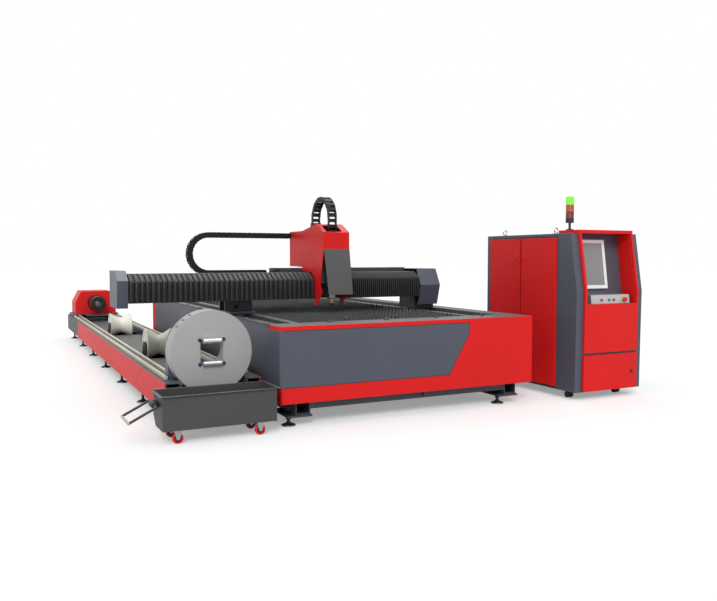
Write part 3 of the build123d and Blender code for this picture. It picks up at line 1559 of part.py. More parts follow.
def control_strip():
    """Silver console bar across the foot of the recess, bored for its buttons."""
    strip = prism_x([
        (strip_front_foot, recess_bottom), (strip_front_head, strip_top_z),
        (recess_wall_y(strip_top_z), strip_top_z), (recess_back_bottom, recess_bottom)], strip_left, strip_right)
    face = strip_face_y(button_z)
    for x in (lamp_x, green_x, red_x, stop_x):
        strip -= many_sided_bar_y(
            x, face - button_depth, face + button_depth + button_travel + button_back_gap, button_z,
            button_radius + button_hole_gap, round_sides)
    save("control_strip", strip)


def button(name, x):
    """A push button: short round cap in its bore."""
    face = strip_face_y(button_z)
    cap = many_sided_bar_y(
        x, face - button_head_length, face + button_depth, button_z, button_radius, round_sides)
    save(name, cap)


def stop_button():
    """Mushroom-headed stop button."""
    face = strip_face_y(button_z)
    start = face - button_travel - stop_head_gap
    head = many_sided_bar_y(stop_x, start - stop_head_height, start, button_z, stop_head_radius, round_sides)
    stem = many_sided_bar_y(stop_x, start, face + button_depth, button_z, button_radius, round_sides)
    save("emergency_stop_button", head + stem)


def side_door(name, door, lock_y):
    """Flat side door with folded edges and a tall lock plate."""
    outer = cabinet_left - door_gap - side_door_thickness
    panel = block(outer, cabinet_left - door_gap, door[0], door[1], side_door_bottom, side_door_top)
    panel -= block(
        outer + door_skin, cabinet_left, door[0] + door_skin, door[1] - door_skin,
        side_door_bottom + door_skin, side_door_top - door_skin)
    lock = block(
        outer - lock_height, outer, lock_y - side_lock_half_width, lock_y + side_lock_half_width,
        side_lock_z - side_lock_half_height, side_lock_z + side_lock_half_height)
    save(name, panel, lock)


def lower_front_door():
    """Red lower door with folded edges and a round lock."""
    low_y = front_line_y(lower_door_bottom) - door_gap
    high_y = front_line_y(lower_door_top) - door_gap
    back = min(low_y, high_y)
    front = back - cover_proud
    door = block(cover_left, cover_right, front, back, lower_door_bottom, lower_door_top)
    door -= block(
        cover_left + door_skin, cover_right - door_skin, front + door_skin, back + 1,
        lower_door_bottom + door_skin, lower_door_top - door_skin)
    lock = many_sided_bar_y(lock_x, front - lock_height, front, lock_z, lock_radius, round_sides)
    save("lower_front_door", door, lock)


def lifting_eyes():
    """Four eye bolts on the roof."""
    center_z = cabinet_top + eye_collar_height + eye_ring_radius - eye_sink
    half = eye_thickness / 2
    collar = many_sided([(eye_collar_radius, 0), (eye_collar_radius, eye_collar_height)], small_round_sides)
    pieces = []
    for x, y in eye_places:
        ring = many_sided_bar_y(x, y - half, y + half, center_z, eye_ring_radius, small_round_sides)
        hole = many_sided_bar_y(
            x, y - eye_thickness, y + eye_thickness, center_z, eye_hole_radius, small_round_sides)
        pieces.append(Pos(x, y, cabinet_top) * collar + ring - hole)
    save("lifting_eyes", *pieces)


def tower_light():
    """Pole with its foot and socket, and three stacked lenses."""
    base = cabinet_top + roof_thickness
    place = Pos(tower_x, tower_y, 0)
    pole = many_sided([
        (tower_flange_radius, base), (tower_flange_radius, base + tower_flange_height),
        (tower_pole_radius, base + tower_flange_height + tower_flange_slope),
        (tower_pole_radius, tower_pole_top), (tower_radius, tower_pole_top), (tower_radius, tower_base_top)],
        round_sides)
    save("tower_light_base", place * pole)
    bottoms = [tower_base_top] + tower_lens_tops[:-1]
    lenses = [
        place * many_sided([(tower_radius, low), (tower_radius, high)], round_sides)
        for low, high in zip(bottoms, tower_lens_tops)]
    save("tower_light_lenses", *lenses)


def cabinet_casters():
    """Twin wheels on swivel plates under the cabinet."""
    pieces = []
    half_gap = castor_wheel_spacing / 2
    half_wheel = castor_wheel_width / 2
    plate_bottom = cabinet_bottom - castor_plate_thickness
    for x in castor_x:
        for y in castor_y:
            castor = block(
                x - castor_plate_half, x + castor_plate_half, y - castor_plate_half, y + castor_plate_half,
                plate_bottom, cabinet_bottom)
            castor += block(
                x - half_gap + half_wheel, x + half_gap - half_wheel, y - castor_leg_half, y + castor_leg_half,
                castor_radius - castor_leg_drop, plate_bottom)
            for side in (-1, 1):
                center = x + side * half_gap
                castor += many_sided_bar_x(
                    center - half_wheel, center + half_wheel, y, castor_radius, castor_radius, small_round_sides)
            pieces.append(castor)
    save("cabinet_casters", *pieces)


bed_frame()
bed_red_panels()
bed_grey_panels()
bed_deck()
cutting_slats()
slat_rack()
transfer_balls()
gantry_rails()
levelling_feet()
gantry_beam()
gantry_end_caps()
gantry_carriages()
save("bellows_left", bellows(gantry_left, head_left - bellows_head_gap, left_fold_count))
save("bellows_right", bellows(head_right + bellows_head_gap, gantry_right, right_fold_count))
gantry_chain()
head_cover()
head_front_panel()
head_carriage()
lift_chain()
cutting_head()
cutting_nozzle()
tube_bed_frame()
tube_bed_side_panels()
tube_bed_rails()
tube_bed_deck()
front_chuck_stand()
front_chuck_drum()
front_chuck_jaw("front_chuck_jaw_upper", 1)
front_chuck_jaw("front_chuck_jaw_lower", -1)
support_bracket("support_bracket_front", support_y[0])
support_bracket("support_bracket_rear", support_y[1])
support_roller("support_roller_front", support_y[0])
support_roller("support_roller_rear", support_y[1])
rear_chuck()
rear_chuck_body()
trolley_bin()
trolley_handle()
trolley_forks()
trolley_wheels()
cabinet_shell()
cabinet_front_cover()
monitor()
control_strip()
button("lamp_button", lamp_x)
button("green_button", green_x)
button("red_button", red_x)
stop_button()
side_door("side_door_front", front_side_door, front_side_door[1] - side_lock_offset)
side_door("side_door_rear", rear_side_door, rear_side_door[0] + side_lock_offset)
lower_front_door()
lifting_eyes()
tower_light()
cabinet_casters()
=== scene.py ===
# %% [markdown]
# # A sheet and tube laser cutting machine
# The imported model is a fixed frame: a flatbed with a gantry, a long tube bed with a drum chuck,
# a scrap trolley and a control cabinet. This lesson dresses it. Each step first says what the
# real piece is, then how it can be made in Blender, and then makes it.

# %% Load the frame
import math

import bpy
from mathutils import Matrix, Vector


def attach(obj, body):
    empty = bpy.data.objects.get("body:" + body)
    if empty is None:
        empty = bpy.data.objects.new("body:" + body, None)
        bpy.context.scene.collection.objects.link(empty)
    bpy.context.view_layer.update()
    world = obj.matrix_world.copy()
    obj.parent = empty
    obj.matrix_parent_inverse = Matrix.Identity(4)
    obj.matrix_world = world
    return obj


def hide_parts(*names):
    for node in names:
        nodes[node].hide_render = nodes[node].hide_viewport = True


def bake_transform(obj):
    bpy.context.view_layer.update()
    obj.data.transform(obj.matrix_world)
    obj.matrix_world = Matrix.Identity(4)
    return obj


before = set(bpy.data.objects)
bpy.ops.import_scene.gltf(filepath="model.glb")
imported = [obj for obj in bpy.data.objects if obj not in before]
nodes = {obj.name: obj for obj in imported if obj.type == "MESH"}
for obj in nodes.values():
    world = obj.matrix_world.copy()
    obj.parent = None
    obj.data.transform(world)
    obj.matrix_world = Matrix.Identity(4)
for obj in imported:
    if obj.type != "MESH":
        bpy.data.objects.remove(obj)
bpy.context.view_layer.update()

# %% [markdown]
# ## Camera
# The picture of the machine was taken from its front left corner, at about eye height, with a
# normal lens. The camera's place was worked out from the machine's own straight edges.

# %% Camera
camera_place = (-1.967, -5.113, 1.25)
camera_tilt, camera_turn = 86.66, -26.5
focal_length, sensor_width, view_end = 37.23, 36.0, 200.0
camera_data = bpy.data.cameras.new("camera")
camera_data.sensor_fit = "HORIZONTAL"
camera_data.sensor_width = sensor_width
camera_data.lens = focal_length
camera_data.clip_end = view_end
camera = bpy.data.objects.new("camera", camera_data)
camera.location = camera_place
camera.rotation_euler = (math.radians(camera_tilt), 0.0, math.radians(camera_turn))
bpy.context.scene.collection.objects.link(camera)
bpy.context.scene.camera = camera
bpy.context.scene.view_settings.view_transform = "Standard"
print("camera at", tuple(round(v, 3) for v in camera.location))

# %% [markdown]
# ## Shader maths
# A finish is a small network of nodes. Writing each link by hand hides the idea, so a socket is
# wrapped in a class that knows plus, minus and times: an expression such as `1 - mask` then adds
# its own Math nodes. Every other node comes from one method.

# %% Sockets that can be used in sums
class Wire:
    """An output of a shader node that can be used in a sum."""

    def __init__(self, finish, socket):
        self.finish = finish
        self.socket = socket

    def math(self, operation, first, second):
        return self.finish.node("ShaderNodeMath", {"operation": operation}, {0: first, 1: second})

    def __add__(self, other):
        return self.math("ADD", self, other)

    __radd__ = __add__

    def __sub__(self, other):
        return self.math("SUBTRACT", self, other)

    def __rsub__(self, other):
        return self.math("SUBTRACT", other, self)

    def __mul__(self, other):
        return self.math("MULTIPLY", self, other)

    __rmul__ = __mul__


# %% Finishes
def linear(code):
    """The light values of a colour written as #rrggbb."""
    parts = [int(code[i:i + 2], 16) / 255 for i in (1, 3, 5)]
    return [((c + 0.055) / 1.055) ** 2.4 if c > 0.04045 else c / 12.92 for c in parts] + [1.0]


def shaded(colour, share, lift=0.0):
    """A colour times a share plus a lift, kept at or under full brightness."""
    return [min(1.0, c * share + lift) for c in colour[:3]] + [1.0]


class Finish:
    """One material, built from nodes on the piece's own coordinates."""

    def __init__(self, name):
        self.material = bpy.data.materials.new(name)
        self.material.use_nodes = True
        self.tree = self.material.node_tree
        self.shader = self.tree.nodes["Principled BSDF"]
        self.place = self.node("ShaderNodeTexCoord", out="Object")

    def node(self, kind, settings=None, values=None, out=0):
        made = self.tree.nodes.new(kind)
        for key, value in (settings or {}).items():
            setattr(made, key, value)
        for key, value in (values or {}).items():
            self.feed(made.inputs[key], value)
        return Wire(self, made.outputs[out])

    def feed(self, socket, value):
        if isinstance(value, Wire):
            self.tree.links.new(value.socket, socket)
        else:
            socket.default_value = value

    def set(self, **values):
        for key, value in values.items():
            self.feed(self.shader.inputs[key.replace("_", " ")], value)

    def noise(self, scale, detail=2.0, stretch=(1.0, 1.0, 1.0)):
        where = self.node("ShaderNodeVectorMath", {"operation": "MULTIPLY"},
                          {0: self.place, 1: stretch})
        return self.node("ShaderNodeTexNoise", None,
                         {"Vector": where, "Scale": scale, "Detail": detail})

    def ramp(self, value, low, high):
        return self.node("ShaderNodeMapRange", {"clamp": True},
                         {"Value": value, "From Min": low, "From Max": high})

    def mix(self, first, second, factor):
        return self.node("ShaderNodeMix", {"data_type": "RGBA"},
                         {0: factor, 6: first, 7: second}, out=2)

    def soft_edges(self, radius):
        """The surface's normal with its edges rounded, and a mask that is 1 on those edges."""
        soft = self.node("ShaderNodeBevel", {"samples": 4}, {"Radius": radius})
        flat = self.node("ShaderNodeNewGeometry", out="Normal")
        same = self.node("ShaderNodeVectorMath", {"operation": "DOT_PRODUCT"},
                         {0: soft, 1: flat}, out="Value")
        return soft, self.ramp(1.0 - same, 0.01, 0.16)

    def bump(self, height, distance, normal=None):
        values = {"Height": height, "Distance": distance, "Strength": 1.0}
        if normal is not None:
            values["Normal"] = normal
        return self.node("ShaderNodeBump", None, values)


print("a red in light values:", [round(c, 3) for c in linear("#DC2A2A")])

# %% [markdown]
# ## Finishes of the machine
# Most of the machine is folded sheet with a satin powder coat: an even colour, a very fine orange
# peel, cleaner along the folded edges with a painted highlight there, a little dust and handling
# lower down. The steel parts are ground or brushed, the covers over the guides are coated cloth,
# and the rest is moulded plastic. Each family is one function, and each finish is one call with its
# own values.

# %% Powder coat
def painted(name, code, roughness, edge_highlight=0.35, radius=0.006, gloss=0.5, dust=0.10):
    """Powder coat: a painted highlight along its folds, deeper in broad clouds, dusty in patches.
    """
    finish = Finish(name)
    base = linear(code)
    highlight_tone = shaded(base, 1 + edge_highlight, 0.02 * edge_highlight)
    deeper = shaded(base, 0.90)
    dusty = shaded(base, 0.8, 0.05)
    broad = finish.noise(0.9, 3.0)
    patches = finish.ramp(finish.noise(4.5, 5.0), 0.48, 0.72)
    soft, edge = finish.soft_edges(radius)
    tone = finish.mix(base, deeper, finish.ramp(broad, 0.35, 0.7))
    tone = finish.mix(tone, dusty, dust * patches)
    # painted highlight: the colour is made lighter along the edges, where a rounded fold would
    # catch the light
    tone = finish.mix(tone, highlight_tone, edge * (0.55 + 0.45 * patches))
    rub = finish.ramp(finish.noise(17.0, 4.0), 0.4, 0.75)
    peel = finish.noise(420.0, 1.0)
    finish.set(Base_Color=tone, Roughness=roughness + 0.10 * rub - 0.06 * edge,
               Normal=finish.bump(peel, 0.00008, soft))
    finish.shader.inputs["Specular IOR Level"].default_value = gloss
    return finish.material


# %% Steel
def ground(name, code, roughness, metallic=1.0, grain=(1.0, 1.0, 1.0), stain=0.25, radius=0.003):
    """Ground or brushed steel: grain stretches the tool marks, stain is how dark patches get."""
    finish = Finish(name)
    base = linear(code)
    darker = shaded(base, 1 - stain)
    steel_highlight = shaded(base, 1.25, 0.03)
    lines = finish.noise(260.0, 3.0, grain)
    patches = finish.ramp(finish.noise(6.0, 5.0), 0.42, 0.68)
    soft, edge = finish.soft_edges(radius)
    tone = finish.mix(base, darker, patches)
    # painted highlight: the steel is made lighter along its edges, where light would catch them
    tone = finish.mix(tone, steel_highlight, 0.7 * edge)
    finish.set(Base_Color=tone, Metallic=metallic,
               Roughness=roughness + 0.12 * patches + 0.10 * (lines - 0.5),
               Normal=finish.bump(lines, 0.00012, soft))
    return finish.material


# %% Moulded plastic
def moulded(name, code, roughness, gloss=0.45, radius=0.002, scuffs=0.2):
    """Moulded plastic: a fine grain, scuffed lighter in marks, with a painted highlight along its
    edges.
    """
    finish = Finish(name)
    base = linear(code)
    scuff_and_highlight = shaded(base, 1.3, 0.015)
    grain = finish.noise(700.0, 2.0)
    marks = finish.ramp(finish.noise(34.0, 6.0, (1.0, 1.0, 0.4)), 0.52, 0.75)
    soft, edge = finish.soft_edges(radius)
    tone = finish.mix(base, scuff_and_highlight, scuffs * marks)
    # painted highlight: lighter along the edges; the marks above are real scuffs
    tone = finish.mix(tone, scuff_and_highlight, 0.5 * edge)
    finish.set(Base_Color=tone, Roughness=roughness + 0.14 * marks,
               Normal=finish.bump(grain, 0.00006, soft))
    finish.shader.inputs["Specular IOR Level"].default_value = gloss
    return finish.material


# %% Coated cloth of the bellows
def coated_cloth(name, code, ridge_highlight_code, roughness):
    """A fine weave, with a painted highlight on the ridges, uneven where worn, and painted shade
    where the fold attribute is 1.
    """
    finish = Finish(name)
    base = linear(code)
    ridge_highlight = linear(ridge_highlight_code)
    across = finish.node("ShaderNodeTexWave", {"wave_type": "BANDS", "bands_direction": "Z"},
                         {"Vector": finish.place, "Scale": 160.0, "Distortion": 0.4})
    along = finish.node("ShaderNodeTexWave", {"wave_type": "BANDS", "bands_direction": "X"},
                        {"Vector": finish.place, "Scale": 160.0, "Distortion": 0.4})
    weave = across * 0.5 + along * 0.5
    worn = finish.ramp(finish.noise(9.0, 4.0), 0.35, 0.75)
    soft, edge = finish.soft_edges(0.006)
    # painted highlight: the ridges are made lighter, more so in worn patches
    tone = finish.mix(base, ridge_highlight, edge * (0.6 + 0.4 * worn))
    fold = finish.node("ShaderNodeAttribute", {"attribute_name": "fold"}, out="Fac")
    # painted shade: near black deep in each fold, where the fold attribute is 1
    tone = finish.mix(tone, linear("#050606"), 0.9 * fold)
    finish.set(Base_Color=tone, Roughness=roughness + 0.12 * worn,
               Normal=finish.bump(weave, 0.00012, soft))
    return finish.material


# %% Glass and lamps
def glazed(name, code, roughness, glow=0.0):
    """Glass or a lamp's lens: a thin film, fine ribs and a little light of its own."""
    finish = Finish(name)
    base = linear(code)
    film = finish.ramp(finish.noise(3.0, 4.0), 0.4, 0.8)
    ribs = finish.node("ShaderNodeTexWave", {"wave_type": "BANDS", "bands_direction": "Z"},
                       {"Vector": finish.place, "Scale": 60.0})
    tone = finish.mix(base, shaded(base, 0.92), film)
    finish.set(Base_Color=tone, Roughness=roughness + 0.08 * film,
               Normal=finish.bump(ribs, 0.00005))
    finish.shader.inputs["Coat Weight"].default_value = 0.4
    finish.shader.inputs["Emission Strength"].default_value = glow
    finish.set(Emission_Color=tone)
    return finish.material


# %% The machine's own finishes, one for each slot
finishes = {
    "red_paint": painted("red_paint", "#E21C1C", 0.40, 0.25, 0.006, 0.2, 0.03),
    "slate_paint": painted("slate_paint", "#505562", 0.38, 0.45, 0.006, 0.4, 0.06),
    "frame_paint": painted("frame_paint", "#3A3F48", 0.45, 0.40),
    "deck_paint": painted("deck_paint", "#4C4F50", 0.50, 0.30),
    "slat_steel": ground("slat_steel", "#5C5F60", 0.45, 0.45, (0.15, 1.0, 1.0), 0.30),
    "rail_steel": ground("rail_steel", "#B9BCC0", 0.26, 1.0, (1.0, 0.1, 1.0)),
    "cream_steel": ground("cream_steel", "#D8D3BF", 0.34, 0.35, (1.0, 0.05, 1.0), 0.12),
    "black_steel": painted("black_steel", "#232528", 0.42, 0.6, 0.004),
    # the second colour is the painted highlight on the ridges of the folds
    "bellows_skin": coated_cloth("bellows_skin", "#141616", "#454D4D", 0.55),
    "chain_plastic": moulded("chain_plastic", "#121314", 0.42, 0.25, 0.002, 0.1),
    "panel_grey": painted("panel_grey", "#595959", 0.40, 0.40, 0.006, 0.4, 0.05),
    "head_alloy": ground("head_alloy", "#8A8D92", 0.30, 0.9, (1.0, 1.0, 0.2)),
    "nozzle_brass": ground("nozzle_brass", "#C9A24A", 0.22, 1.0, (1.0, 1.0, 0.2), 0.2),
    "chuck_grey": painted("chuck_grey", "#ABABAB", 0.46, 0.35, 0.005, 0.5, 0.2),
    "roller_steel": ground("roller_steel", "#DADCDC", 0.20, 0.7, (0.2, 1.0, 1.0), 0.1),
    "ivory_nylon": moulded("ivory_nylon", "#EFEDDE", 0.42, 0.45, 0.004, 0.1),
    "chuck_dark": ground("chuck_dark", "#3A3835", 0.36, 0.8, (1.0, 0.2, 1.0)),
    "bin_grey": painted("bin_grey", "#484848", 0.48, 0.55, 0.004, 0.35, 0.05),
    "tyre_red": moulded("tyre_red", "#E01616", 0.45, 0.4),
    "white_plastic": moulded("white_plastic", "#F1F1F1", 0.38),
    "screen_glass": glazed("screen_glass", "#7C7C7C", 0.12, 0.15),
    "silver_panel": ground("silver_panel", "#BFC1C3", 0.34, 0.6, (0.1, 1.0, 1.0), 0.08),
    "lamp_green": glazed("lamp_green", "#76F21A", 0.2, 0.35),
    "button_green": moulded("button_green", "#1E9A44", 0.3),
    "button_red": moulded("button_red", "#D01A1A", 0.3),
    "castor_black": moulded("castor_black", "#202124", 0.42),
    "eye_steel": ground("eye_steel", "#C6C8CA", 0.2, 1.0, (1.0, 1.0, 0.3)),
    "foot_black": moulded("foot_black", "#1E2022", 0.42),
}
for node in nodes.values():
    for slot in node.material_slots:
        slot.material = finishes[slot.material.name.split(".")[0]]
nodes["gantry_rails"].material_slots[0].material = finishes["slat_steel"]
print("finishes", len(finishes))

# %% [markdown]
# ## Floor and light
# A studio for machines is a pale floor that runs into a white wall, one wide lamp above and a
# soft light from the front. The world gives the even light, the sun a soft direction, and the
# background is white where the camera, a gloss or a glass looks at it.

# %% Floor
floor_size, floor_middle, floor_glow = 120.0, (1.0, 2.0, 0.0), 0.3
bpy.ops.object.select_all(action="DESELECT")
bpy.ops.mesh.primitive_plane_add(size=floor_size, location=floor_middle)
floor = bpy.context.active_object
floor.name = "studio_floor"
ground_finish = Finish("studio_floor")
floor_tone = ground_finish.mix(linear("#F4F4F4"), linear("#EFEFEF"), ground_finish.noise(0.4))
ground_finish.set(Base_Color=floor_tone, Roughness=0.9)
ground_finish.shader.inputs["Specular IOR Level"].default_value = 0.0
matt = Wire(ground_finish, ground_finish.shader.outputs[0])
path = ground_finish.node("ShaderNodeLightPath", out="Is Camera Ray")
lift = ground_finish.node("ShaderNodeEmission", None,
                          {"Color": (1, 1, 1, 1), "Strength": floor_glow})
both = ground_finish.node("ShaderNodeAddShader", None, {0: matt, 1: lift})
seen = ground_finish.node("ShaderNodeMixShader", None, {0: path, 1: matt, 2: both})
ground_finish.feed(ground_finish.tree.nodes["Material Output"].inputs["Surface"], seen)
floor.data.materials.append(ground_finish.material)

# %% World and lamps
even_light, backdrop_light = 0.62, 1.0
sun_from, sun_energy, sun_angle = (-0.40, -0.72, 0.60), 1.35, 25.0
lamp_place, lamp_width, lamp_length, lamp_energy = (0.5, 2.5, 7.0), 9.0, 10.0, 900.0
world = bpy.data.worlds.new("studio")
bpy.context.scene.world = world
world.use_nodes = True
world_nodes = world.node_tree.nodes
links = world.node_tree.links


def background(node, strength):
    node.inputs["Color"].default_value = (1.0, 1.0, 1.0, 1.0)
    node.inputs["Strength"].default_value = strength
    return node.outputs[0]


def either(first, second):
    """1 where at least one of two kinds of ray looks."""
    node = world_nodes.new("ShaderNodeMath")
    node.operation = "MAXIMUM"
    links.new(first, node.inputs[0])
    links.new(second, node.inputs[1])
    return node.outputs[0]


plain = background(world_nodes["Background"], even_light)
white = background(world_nodes.new("ShaderNodeBackground"), backdrop_light)
rays = world_nodes.new("ShaderNodeLightPath").outputs
looks = either(either(rays["Is Camera Ray"], rays["Is Transmission Ray"]), rays["Is Glossy Ray"])
choice = world_nodes.new("ShaderNodeMixShader")
for socket, source in zip(choice.inputs, (looks, plain, white)):
    links.new(source, socket)
links.new(choice.outputs[0], world_nodes["World Output"].inputs["Surface"])

sun_data = bpy.data.lights.new("front_sun", "SUN")
sun_data.energy = sun_energy
sun_data.angle = math.radians(sun_angle)
sun = bpy.data.objects.new("front_sun", sun_data)
sun.rotation_euler = Vector(sun_from).to_track_quat("Z", "Y").to_euler()
bpy.context.scene.collection.objects.link(sun)

box_data = bpy.data.lights.new("ceiling_lamp", "AREA")
box_data.shape = "RECTANGLE"
box_data.size = lamp_width
box_data.size_y = lamp_length
box_data.energy = lamp_energy
box = bpy.data.objects.new("ceiling_lamp", box_data)
box.location = lamp_place
box.visible_diffuse = False
box.visible_camera = False
bpy.context.scene.collection.objects.link(box)
print("lamps", len(bpy.data.lights))

# %% [markdown]
# ## How pieces are made here
# Almost every part of such a machine is turned, folded from sheet or cut from bar, so three small
# helpers do the modelling: one turns a profile ring by ring, one extrudes an outline into a plate
# and one bevels a bar. What repeats is modelled once and then copied, each copy with its own mesh.

# %% Modelling helpers
AXES = {"X": (0.0, math.radians(90), 0.0),
        "Y": (math.radians(-90), 0.0, 0.0),
        "Z": (0.0, 0.0, 0.0)}


def deselect():
    bpy.ops.object.select_all(action="DESELECT")


def only(piece):
    deselect()
    piece.select_set(True)
    bpy.context.view_layer.objects.active = piece


def apply_place(piece):
    only(piece)
    bpy.ops.object.transform_apply(location=True, rotation=True, scale=True)
    return piece


def turned(profile, sides, place=(0.0, 0.0, 0.0), axis="Z"):
    """A ring extruded and resized along a profile of (radius, height), then laid on its axis."""
    deselect()
    radius, height = profile[0]
    bpy.ops.mesh.primitive_circle_add(vertices=sides, radius=radius, fill_type="NGON",
                                      location=(0.0, 0.0, height))
    piece = apply_place(bpy.context.active_object)
    bpy.ops.object.mode_set(mode="EDIT")
    bpy.ops.mesh.select_all(action="SELECT")
    for next_radius, next_height in profile[1:]:
        bpy.ops.mesh.extrude_region_move(
            TRANSFORM_OT_translate={"value": (0.0, 0.0, next_height - height)})
        ratio = next_radius / radius
        bpy.ops.transform.resize(value=(ratio, ratio, 1.0), center_override=(0.0, 0.0, next_height))
        radius, height = next_radius, next_height
    bpy.ops.mesh.select_all(action="SELECT")
    bpy.ops.mesh.normals_make_consistent(inside=False)
    bpy.ops.object.mode_set(mode="OBJECT")
    piece.rotation_euler = AXES[axis]
    piece.location = place
    return apply_place(piece)


def both_ways(half):
    """A profile that is the same on both sides of its middle, from the upper half of it."""
    return [(radius, -height) for radius, height in reversed(half)] + half


def rod(start, end, radius, sides=20, chamfer=0.0015):
    """A round bar between two points, with its end edges turned down."""
    run = Vector(end) - Vector(start)
    profile = [(radius - chamfer, 0.0), (radius, chamfer), (radius, run.length - chamfer),
               (radius - chamfer, run.length)]
    piece = turned(profile, sides)
    piece.rotation_euler = run.to_track_quat("Z", "Y").to_euler()
    piece.location = start
    return apply_place(piece)


def plate(outline, low, high, across="Y"):
    """A flat outline extruded between two heights: across is the direction of its thickness."""
    deselect()
    bpy.ops.mesh.primitive_circle_add(vertices=len(outline), radius=1.0, fill_type="NGON")
    piece = bpy.context.active_object
    spots = {"X": lambda a, b: (low, a, b),
             "Y": lambda a, b: (a, low, b),
             "Z": lambda a, b: (a, b, low)}
    for corner, (a, b) in zip(piece.data.vertices, outline):
        corner.co = spots[across](a, b)
    step = Vector((0.0, 0.0, 0.0))
    step["XYZ".index(across)] = high - low
    bpy.ops.object.mode_set(mode="EDIT")
    bpy.ops.mesh.select_all(action="SELECT")
    bpy.ops.mesh.extrude_region_move(TRANSFORM_OT_translate={"value": step})
    bpy.ops.mesh.select_all(action="SELECT")
    bpy.ops.mesh.normals_make_consistent(inside=False)
    bpy.ops.object.mode_set(mode="OBJECT")
    return piece


def bar(low, high, edge=0.002, segments=2):
    """A straight bar between two corners, with all its edges bevelled."""
    deselect()
    size = Vector(high) - Vector(low)
    bpy.ops.mesh.primitive_cube_add(size=1.0, location=(Vector(low) + Vector(high)) / 2)
    piece = bpy.context.active_object
    piece.scale = size
    apply_place(piece)
    bpy.ops.object.mode_set(mode="EDIT")
    bpy.ops.mesh.select_all(action="SELECT")
    bpy.ops.mesh.bevel(offset=min(edge, min(size) * 0.4), segments=segments)
    bpy.ops.object.mode_set(mode="OBJECT")
    return piece


def joined(pieces):
    deselect()
    for piece in pieces:
        piece.select_set(True)
    bpy.context.view_layer.objects.active = pieces[0]
    bpy.ops.object.join()
    return bpy.context.active_object


def spread(piece, places):
    """Copies of one piece at several places, each with its own mesh, joined at the end."""
    copies = []
    for place in places:
        copy = piece.copy()
        copy.data = piece.data.copy()
        copy.data.transform(place)
        bpy.context.scene.collection.objects.link(copy)
        copies.append(copy)
    bpy.data.objects.remove(piece)
    return joined(copies)


def moves(points):
    """The matrices that move a piece to each point."""
    return [Matrix.Translation(point) for point in points]


def settle(piece, name, finish, body=None, stands_for=(), angle=35.0):
    """Names a piece, smooths it up to an angle, gives it its finish and lets it ride."""
    piece.name = name
    piece.data.name = name
    piece.data.materials.clear()
    piece.data.materials.append(finishes[finish])
    only(piece)
    bpy.ops.object.shade_smooth_by_angle(angle=math.radians(angle))
    if body:
        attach(piece, body)
    if stands_for:
        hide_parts(*stands_for)
    print(name, len(piece.data.polygons), "faces")
    return piece


# %% [markdown]
# ## Cutting slats
# The sheet lies on two dozen steel strips that stand on edge. Their upper edge is sawtooth, so
# that little of the strip touches the sheet. One strip is a plate with a sawtooth outline; an
# array of teeth would do too, but an outline gives one clean solid.

# %% One strip and its copies
slat_left, slat_right = 0.1655, 1.7225
slat_foot, slat_tip, half_slat = 0.655, 0.757, 0.002
slat_first, slat_pitch, slat_count = 0.156, 0.128, 24
tooth_depth, tooth_count, tooth_flat = 0.034, 43, (0.44, 0.56)
tooth_pitch = (slat_right - slat_left) / tooth_count
slat_outline = [(slat_left, slat_foot), (slat_right, slat_foot),
                (slat_right, slat_tip - tooth_depth)]
for tooth in range(tooth_count - 1, -1, -1):
    start = slat_left + tooth * tooth_pitch
    slat_outline += [(start + tooth_flat[1] * tooth_pitch, slat_tip),
                     (start + tooth_flat[0] * tooth_pitch, slat_tip),
                     (start, slat_tip - tooth_depth)]
strip = plate(slat_outline, -half_slat, half_slat)
slats = spread(strip, moves([(0.0, slat_first + slat_pitch * k, 0.0) for k in range(slat_count)]))
settle(slats, "slat_strips", "slat_steel", "machine_base", ["cutting_slats"])

# %% [markdown]
# ## Bellows
# Two folded covers keep the dust off the guides of the gantry. They are one long sheet of coated
# cloth, pleated across its length and bent over the beam. A flat grid is the honest start: it is
# bent over the beam in one direction and pleated in the other, and gets its thickness at the end.

# %% Pleat a flat grid
# Across the beam: a point in Y and Z, and the way in from there to the bottom of a fold.
bellows_path = [((1.062, 0.874), (1.0, 0.0)), ((1.062, 0.964), (1.0, 0.0)),
                ((1.062, 1.050), (1.0, -0.3)), ((1.0655, 1.056), (0.9, -0.6)),
                ((1.110, 1.082), (0.5, -0.86)), ((1.157, 1.1095), (0.35, -0.95)),
                ((1.164, 1.112), (0.2, -1.0)), ((1.300, 1.112), (0.0, -1.0))]
# Along the beam: the share of a fold, and how deep it is there, 1 at the bottom.
pleat = [(0.0, 1.0), (0.13, 1.0), (0.30, 0.06), (0.40, 0.0), (0.60, 0.0), (0.70, 0.06), (0.87, 1.0)]
pleat_depth, cloth_thickness = 0.017, 0.0016


